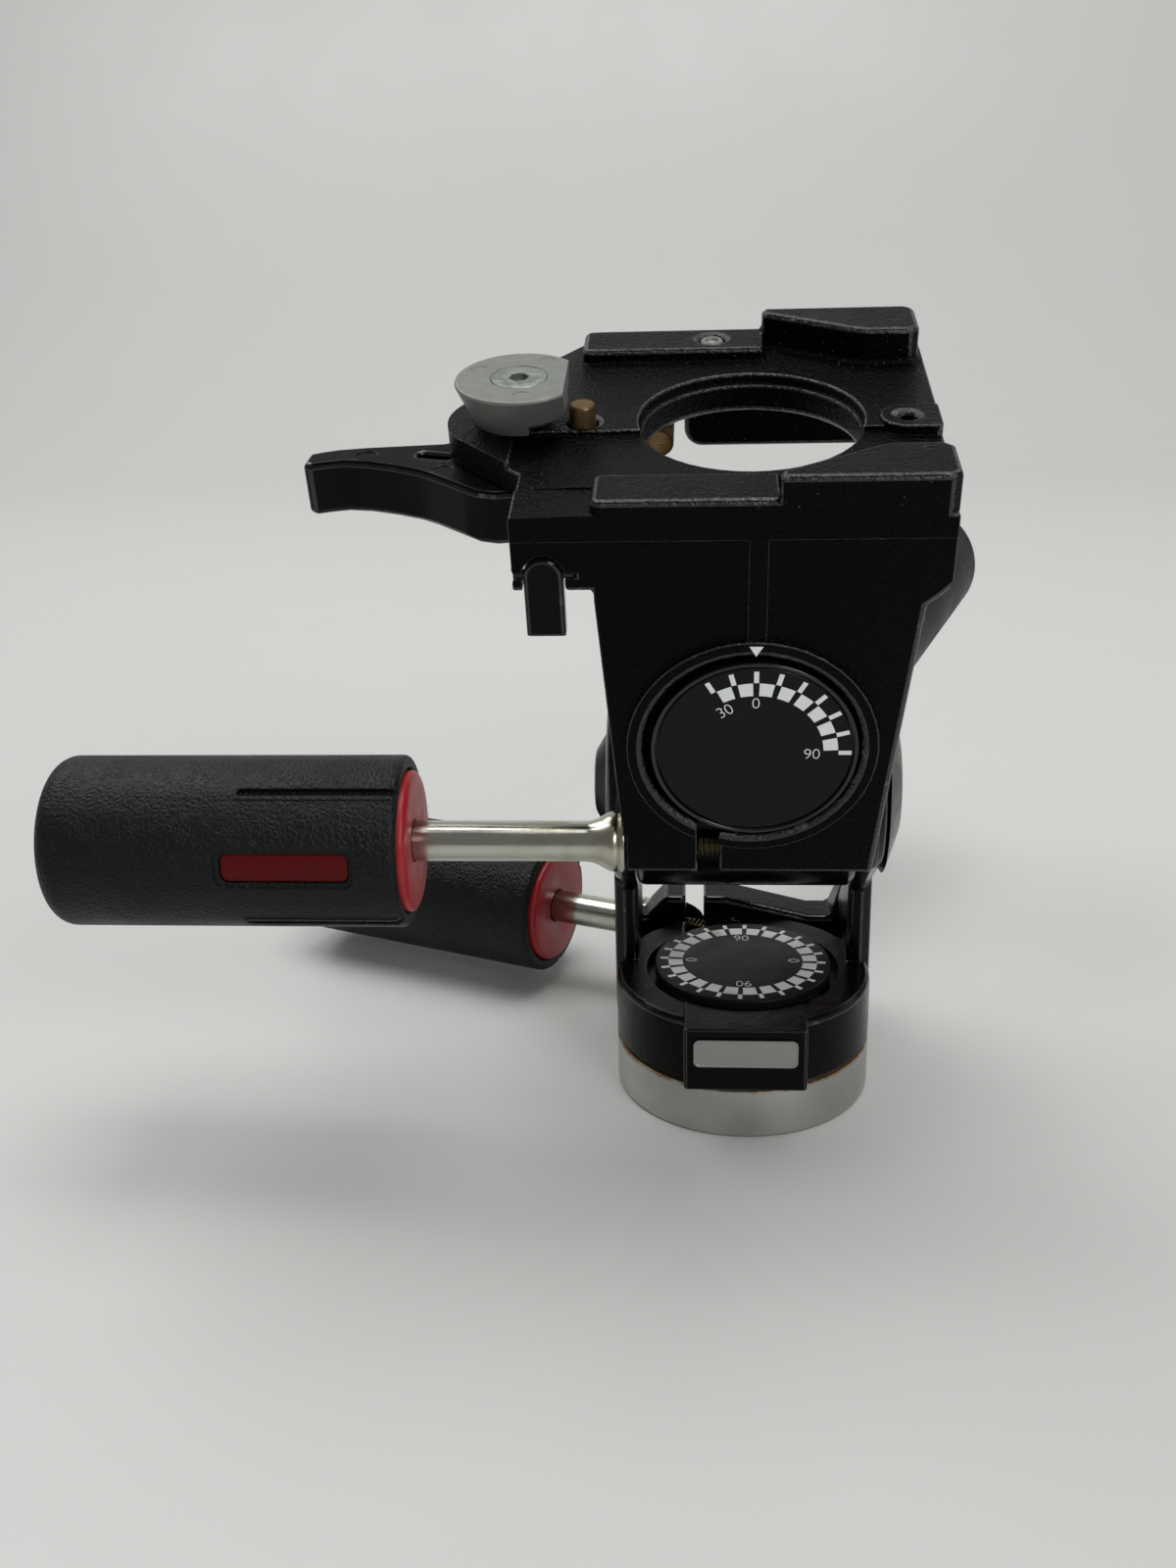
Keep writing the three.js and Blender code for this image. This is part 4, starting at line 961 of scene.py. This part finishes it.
HANDLES = [
    # name, frame of its screw axis, rod length, screw length, window angle, body
    ("pan_lock", moved(-11.5, 34, 21.8) @ spun(158.2, "Z") @ moved(12, 0, 0), 27.5, 23, 30, "pan_handle"),
    (
        "tilt_lock", TILTED @ moved(11.9, 32.3, -3.2) @ spun(67.8, "Z") @ spun(8.2, "Y"),
        44, 14, 110, "tilt_handle",
    ),
    ("side_lock", TILTED @ moved(-25, -36, 10.8) @ spun(180, "Z"), 44, 33, 198.7, "side_handle"),
]

# The rod's foot from the casting outwards: radius and place along the rod
ROD_FOOT = [
    (2.6, 0.2), (6.0, 0.3), (6.4, 0.45), (6.5, 0.9), (6.35, 1.35), (6.05, 1.5), (6.0, 1.8),
    (6.3, 2.2), (6.35, 3.0), (6.05, 3.9), (5.4, 5.0), (4.8, 6.1), (4.42, 7.2),
]
SCREW_PITCH = 1.1
ROD_IN_GRIP = 61.2


class HEAD_OT_handles(bpy.types.Operator):
    """Makes the three lock handles: plated rod, red cap, grained grip and red window"""

    bl_idname = "head.handles"
    bl_label = "Lock handles"

    def execute(self, context):
        for name, place, rod, screw, window, body in HANDLES:
            self.rod(name, place, rod, screw, body)
            self.cap(name, place, rod, body)
            self.grip(name, place, rod + GRIP_STARTS_PAST_CAP, window, body)
        return {"FINISHED"}

    def rod(self, name, place, length, screw, body):
        """A steel rod with a flared foot, and a screw with ring grooves in place of its thread"""
        radius, end = handle("rod_radius"), length + ROD_IN_GRIP
        profile = [(0, -screw), (2.4, -screw), (2.98, 0.7 - screw)]
        for i in range(int((screw - 2) / SCREW_PITCH)):
            at = 1.0 - screw + SCREW_PITCH * i
            profile += [(2.98, at), (2.98, at + 0.2), (2.45, at + 0.5), (2.45, at + 0.65)]
        profile += [*ROD_FOOT, (radius, 8.3), (radius, end), (0, end)]
        shape = turned(profile, "X", 64)
        # Marks the screw's faces for painted shade: the thread is painted dark brown where it sits in the
        # castings' slits
        thread_shade = shape.faces.layers.float.new("wear")
        for face in shape.faces:
            face[thread_shade] = float(face.calc_center_median().x < 0.15)
        finished(
            f"{name}_rod_turning", shape, place, body, "plated steel", (f"{name}_rod",), "steel", smooth=38
        )

    def cap(self, name, place, rod, body):
        """A flat red disc with a round edge, let into the grip's mouth"""
        radius, hole, back = handle("cap_radius"), 4.55, rod + 6.2
        profile = [(hole, rod + 0.5), (5.6, rod + 0.35), (8.5, rod + 0.1), (radius - 1.1, rod)]
        profile += arc(radius - 1.1, rod + 1.2, 1.1, -72, 0, 4)
        profile += [(radius, back), (hole, back)]
        shape = turned(profile, "X", 96)
        finished(f"{name}_cap_moulding", shape, place, body, "red plastic", (f"{name}_cap",), "red_plastic")

    def grip(self, name, place, start, window, body):
        """A rubber sleeve with a domed end, two lipped grooves, and a window sunk in a recess"""
        radius, inner = handle("grip_radius"), handle("cap_radius") + 0.3
        end, mouth = start + handle("grip_length"), start - MOUTH_OVER_CAP
        floor = start + 3.3
        profile = [(0, floor), (inner, floor), (inner, mouth + 0.5), (inner + 0.4, mouth + 0.1)]
        profile += arc(radius - 1.3, mouth + 1.3, 1.3, -90, 0, 5)
        profile += arc(radius - 4.4, end - 4.4, 4.4, 0, 90, 9)
        profile += [(0, end)]
        grooves = [window + side for side in GROOVES_FROM_WINDOW]
        lips = [self.groove(start, angle, 0.9, 0.6, -0.16) for angle in grooves]
        tools = [
            cylinder(4.55, start - 2, start + 58.3, 48, "X"),
            self.window_shape(start, 1.1, 0.95, window),
            self.window_shape(start, 0.1, 2.4, window),
            *(self.groove(start, angle) for angle in grooves),
        ]
        shape = soften(cut(fused(turned(profile, "X", 96), *lips), *tools), 0.5, 3, 36)
        finished(
            f"{name}_grip_moulding", shape, place, body, "grip rubber", (f"{name}_grip",), "rubber", smooth=42
        )
        pane = soften(self.window_shape(start, 0.05, 2.35, window, 1.6), 0.3, 3)
        finished(
            f"{name}_window_moulding", pane, place, body, "window red",
            (f"{name}_window",), "red_plastic", smooth=36,
        )

    def raised(self, outline, depth, sunk, angle):
        """An outline drawn along the grip, from below its skin up to where it is sunk"""
        radius = handle("grip_radius")
        shape = slab(outline, radius - depth, radius - sunk)
        put(shape, spun(angle, "X") @ spun(90, "X"))
        return shape

    def window_shape(self, start, room, depth, angle, sunk=-1.0):
        low, high, half = start + 8, start + 34, 2.9
        outline = rounded_outline(low - room, high + room, -half - room, half + room, 1.5 + room * 0.5, 5)
        return self.raised(outline, depth, sunk, angle)

    def groove(self, start, angle, room=0.0, depth=1.2, sunk=-2.0):
        """A straight groove with a round inner end, open at the red end, or the lip round it"""
        half = 0.85 + room
        near = start - MOUTH_OVER_CAP + 1.2 if room else start - 4
        outline = [(near, -half), *arc(start + 30, 0, half, -90, 90, 8), (near, half)]
        return self.raised(outline, depth, sunk, angle)


# Centres of the dog and of the release pin, and the height of the camera plate's seat
NOSE = (-45.3, 2.5)
PIN = (-33, 0.5)
SEAT_TOP = 87.35
DOG_MARKS = ((-8.3, 4.2), (5.0, 8.2), (1.2, -9.0))


class HEAD_OT_release(bpy.types.Operator):
    """Makes the locking dog with its screw, the release pin, the return spring and the rail screw"""

    bl_idname = "head.release"
    bl_label = "Quick release"

    def execute(self, context):
        self.dog()
        self.dog_screw()
        self.pin()
        self.spring()
        self.rail_screw()
        return {"FINISHED"}

    def dog(self):
        """A cone that widens upwards, flat towards the hole, with a step and room for the pin"""
        foot, top = SEAT_TOP + 0.3, SEAT_TOP + 8.7
        radius = casting("dog_radius")
        profile = [(0, foot), (9.2, foot), (9.45, foot + 0.25), (radius - 0.02, top - 0.7)]
        profile += [*arc(radius - 0.6, top - 0.6, 0.6, 0, 90, 5), (0, top)]
        cone = turned(profile, steps=128)
        flat = block((9.2, -20, foot - 2), (20, 20, top + 2))
        neck = cylinder(6.5, foot - 3, foot + 6)
        step = cut(block((2.2, -20, foot - 2), (20, 20, foot + 2.2)), neck)
        reach = math.dist(PIN, NOSE) - 2.9
        pin_room = slab(arc(0, 0, 20, -30, 66, 16) + arc(0, 0, reach, 66, -30, 32), foot - 2, SEAT_TOP + 5)
        well = turned(
            [(0, top - 2.9), (2.8, top - 2.9), (5.75, top - 0.1), (5.85, top + 1), (0, top + 1)], steps=64
        )
        marks = [cylinder(1.75, top - 0.12, top + 1, 32, at=(x, y, 0)) for x, y in DOG_MARKS]
        bore = cylinder(2.8, foot - 3, top - 1)
        body = soften(cut(cone, flat, step, pin_room, well, bore, *marks), 0.35, 3, 40)
        shaft = turned([(2.8, foot - 12), (4, foot - 12), (4, foot), (2.8, foot)], steps=64)
        shape = together(body, shaft)
        put(shape, moved(*NOSE, 0))
        finished(
            "locking_dog_casting", shape, TILTED, "lever", "cast zinc",
            ("locking_dog",), "zinc", smooth=30, even=True,
        )

    def dog_screw(self):
        """Countersunk, with a hexagonal socket"""
        top, foot = SEAT_TOP + 8.68, SEAT_TOP - 5.32
        profile = [(0, foot), (2.5, foot), (2.5, top - 2.6), (5.45, top - 0.2)]
        profile += [(5.35, top - 0.05), (5.2, top), (0, top)]
        socket = slab(arc(0, 0, 2.1, 12, 312, 5), top - 1.5, top + 1)
        screw = cut(turned(profile, steps=64), socket)
        put(screw, moved(*NOSE, 0))
        finished(
            "dog_screw_turning", screw, TILTED, "lever", "screw steel", ("dog_screw",), "zinc", smooth=30
        )

    def pin(self):
        low, top = 78.8, SEAT_TOP + 3.8
        profile = [(0, low), (2.6, low), (2.6, top - 0.5), (2.45, top - 0.18), (2.2, top)]
        profile += [(1.6, top - 0.03), (1.2, top - 0.12), (0, top - 0.15)]
        shape = turned(profile, steps=48, at=(*PIN, 0))
        finished(
            "release_pin_turning", shape, TILTED, "pin", "dull brass", ("release_pin",), "brass", smooth=36
        )

    def spring(self):
        """One wire, coiled along the tail's push and closed at both ends"""
        wire, radius, front, back, curls = 0.34, 2.9, 15.0, 33.5, 15
        centre = (-18.7, 0, 75.6)
        ring = bmesh.new()
        bmesh.ops.create_circle(ring, cap_ends=False, radius=wire, segments=10)
        across = spun(90, "Y") @ spun(90, "X") @ moved(radius, 0, 0) @ spun(12, "X")
        put(ring, moved(*centre) @ moved(0, front + wire, 0) @ across)
        steps = curls * 24
        rise = (back - front - 2 * wire) / steps
        bmesh.ops.spin(
            ring, geom=ring.verts[:] + ring.edges[:], cent=centre, axis=(0, 1, 0), dvec=(0, rise, 0),
            angle=curls * FULL_TURN, steps=steps, use_merge=False, use_duplicate=False,
        )
        loose = [edge for edge in ring.edges if edge.is_boundary]
        bmesh.ops.holes_fill(ring, edges=loose, sides=0)
        bmesh.ops.recalc_face_normals(ring, faces=ring.faces)
        finished(
            "lever_spring_coil", ring, TILTED, "platform_block", "spring brass",
            ("lever_spring",), "brass", smooth=60,
        )

    def rail_screw(self):
        """A small screw with a hollow head, just under the far rail's top"""
        top = SEAT_TOP + 2.65
        foot = top - 4.2
        profile = [(0, foot), (2.35, foot), (2.35, top - 0.3), (2.1, top), (1.5, top)]
        profile += [(1.2, top - 0.6), (0, top - 1.2)]
        head = turned(profile, steps=40, at=(-7.5, 36, 0))
        finished(
            "rail_screw_turning", head, TILTED, "platform_block", "cast zinc",
            ("rail_screw",), "steel", smooth=30,
        )


# name, place, what it shines at, width and height in metres, power in watts
LAMPS = [
    ("window", (-0.95, 0.55, 1.25), (0, 0, 0.1), 1.1, 0.8, 8),
    ("ceiling", (0.1, 0.0, 1.7), (0, 0, 0.1), 1.3, 1.0, 13.5),
    ("wall", (-0.2, 0.1, 1.5), (0, 1.5, 0.7), 1.4, 0.6, 7),
    ("back", (1.2, 0.7, 0.9), (0, 0, 0.1), 0.7, 0.6, 2.5),
    ("front", (0.9, -1.3, 0.9), (0, 0, 0.1), 0.8, 0.6, 11),
]

# The camera as fitted to the photograph: place in millimetres, yaw, pitch and roll in degrees,
# and focal length in heights of the image
CAMERA_PLACE = (-9.7, -338.29, 197.2)
CAMERA_TURN = (4.41, 19.87, -1.52)
FOCAL_LENGTH = 1598.3 / 1600
SENSOR = 36


class HEAD_OT_stage(bpy.types.Operator):
    """Sets up the pale floor, the soft lights and the camera"""

    bl_idname = "head.stage"
    bl_label = "Stage"

    def execute(self, context):
        self.sweep()
        for lamp in LAMPS:
            self.lamp(*lamp)
        self.air()
        self.camera(context)
        return {"FINISHED"}

    def sweep(self):
        """Floor and backdrop in one sheet, with a round bend between them"""
        half, bend, start = 2600, 600, 900
        profile = [(-2200, 0), (start, 0), *arc(start, bend, bend, -90, 0, 24)[1:], (start + bend, 2600)]
        bm = bmesh.new()
        left = [bm.verts.new((-half, y, z)) for y, z in profile]
        edges = [bm.edges.new(pair) for pair in zip(left, left[1:])]
        raised = bmesh.ops.extrude_edge_only(bm, edges=edges)
        bmesh.ops.translate(bm, verts=new_corners(raised), vec=(2 * half, 0, 0))
        put(bm, Matrix.Scale(MM, 4))
        bmesh.ops.recalc_face_normals(bm, faces=bm.faces)
        mesh = as_mesh(bm, "sweep")
        mesh.shade_smooth()
        mesh.materials.append(finish_of("pale floor"))
        linked("sweep", mesh)

    def lamp(self, name, place, target, width, height, power):
        light = bpy.data.lights.new(name, "AREA")
        light.shape = "RECTANGLE"
        light.size, light.size_y = width, height
        light.energy = power
        holder = linked(name, light)
        holder.location = place
        holder.rotation_euler = (Vector(target) - Vector(place)).to_track_quat("-Z", "Y").to_euler()

    def air(self):
        """Even light from all round, and plain colours"""
        world = bpy.data.worlds.new("studio air")
        world.use_nodes = True
        air = world.node_tree.nodes["Background"]
        air.inputs["Color"].default_value = (0.80, 0.81, 0.80, 1)
        air.inputs["Strength"].default_value = 0.24
        bpy.context.scene.world = world
        bpy.context.scene.view_settings.view_transform = "Standard"

    def camera(self, context):
        data = bpy.data.cameras.new("photo camera")
        data.sensor_fit = "AUTO"
        data.sensor_width = SENSOR
        data.lens = SENSOR * FOCAL_LENGTH
        data.clip_start, data.clip_end = 0.01, 50
        camera = linked("photo camera", data)
        yaw, pitch, roll = (math.radians(angle) for angle in CAMERA_TURN)
        turn = Matrix.Rotation(yaw, 3, "Z") @ Matrix.Rotation(-pitch, 3, "X")
        right, ahead, above = (turn @ Vector(v) for v in ((1, 0, 0), (0, 1, 0), (0, 0, 1)))
        side = right * math.cos(roll) + above * math.sin(roll)
        top = above * math.cos(roll) - right * math.sin(roll)
        matrix = Matrix((side, top, -ahead)).transposed().to_4x4()
        matrix.translation = Vector(CAMERA_PLACE) * MM
        camera.matrix_world = matrix
        context.scene.camera = camera


class HEAD_PT_pieces(bpy.types.Panel):
    """Lists the sizes, the colours and the pieces"""

    bl_label = "Pan tilt head"
    bl_idname = "HEAD_PT_pieces"
    bl_space_type = "VIEW_3D"
    bl_region_type = "UI"
    bl_category = "Pan tilt head"

    def draw(self, context):
        for groups in GROUPS:
            group = getattr(context.scene, groups)
            box = self.layout.box()
            for name in group.bl_rna.properties.keys():
                if name not in {"rna_type", "name"}:
                    box.prop(group, name)
        for operator in OPERATORS:
            self.layout.operator(operator.bl_idname)


GROUPS = {"casting_sizes": CastingSizes, "handle_sizes": HandleSizes, "head_colours": HeadColours}
OPERATORS = [HEAD_OT_castings, HEAD_OT_base, HEAD_OT_dials, HEAD_OT_handles, HEAD_OT_release, HEAD_OT_stage]


def register():
    for name, group in GROUPS.items():
        bpy.utils.register_class(group)
        setattr(bpy.types.Scene, name, bpy.props.PointerProperty(type=group))
    for operator in OPERATORS:
        bpy.utils.register_class(operator)
    bpy.utils.register_class(HEAD_PT_pieces)


def unregister():
    bpy.utils.unregister_class(HEAD_PT_pieces)
    for operator in reversed(OPERATORS):
        bpy.utils.unregister_class(operator)
    for name, group in GROUPS.items():
        delattr(bpy.types.Scene, name)
        bpy.utils.unregister_class(group)


def main():
    register()
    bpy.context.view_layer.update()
    for operator in OPERATORS:
        family, name = operator.bl_idname.split(".")
        getattr(getattr(bpy.ops, family), name)()


if __name__ == "__main__":
    main()
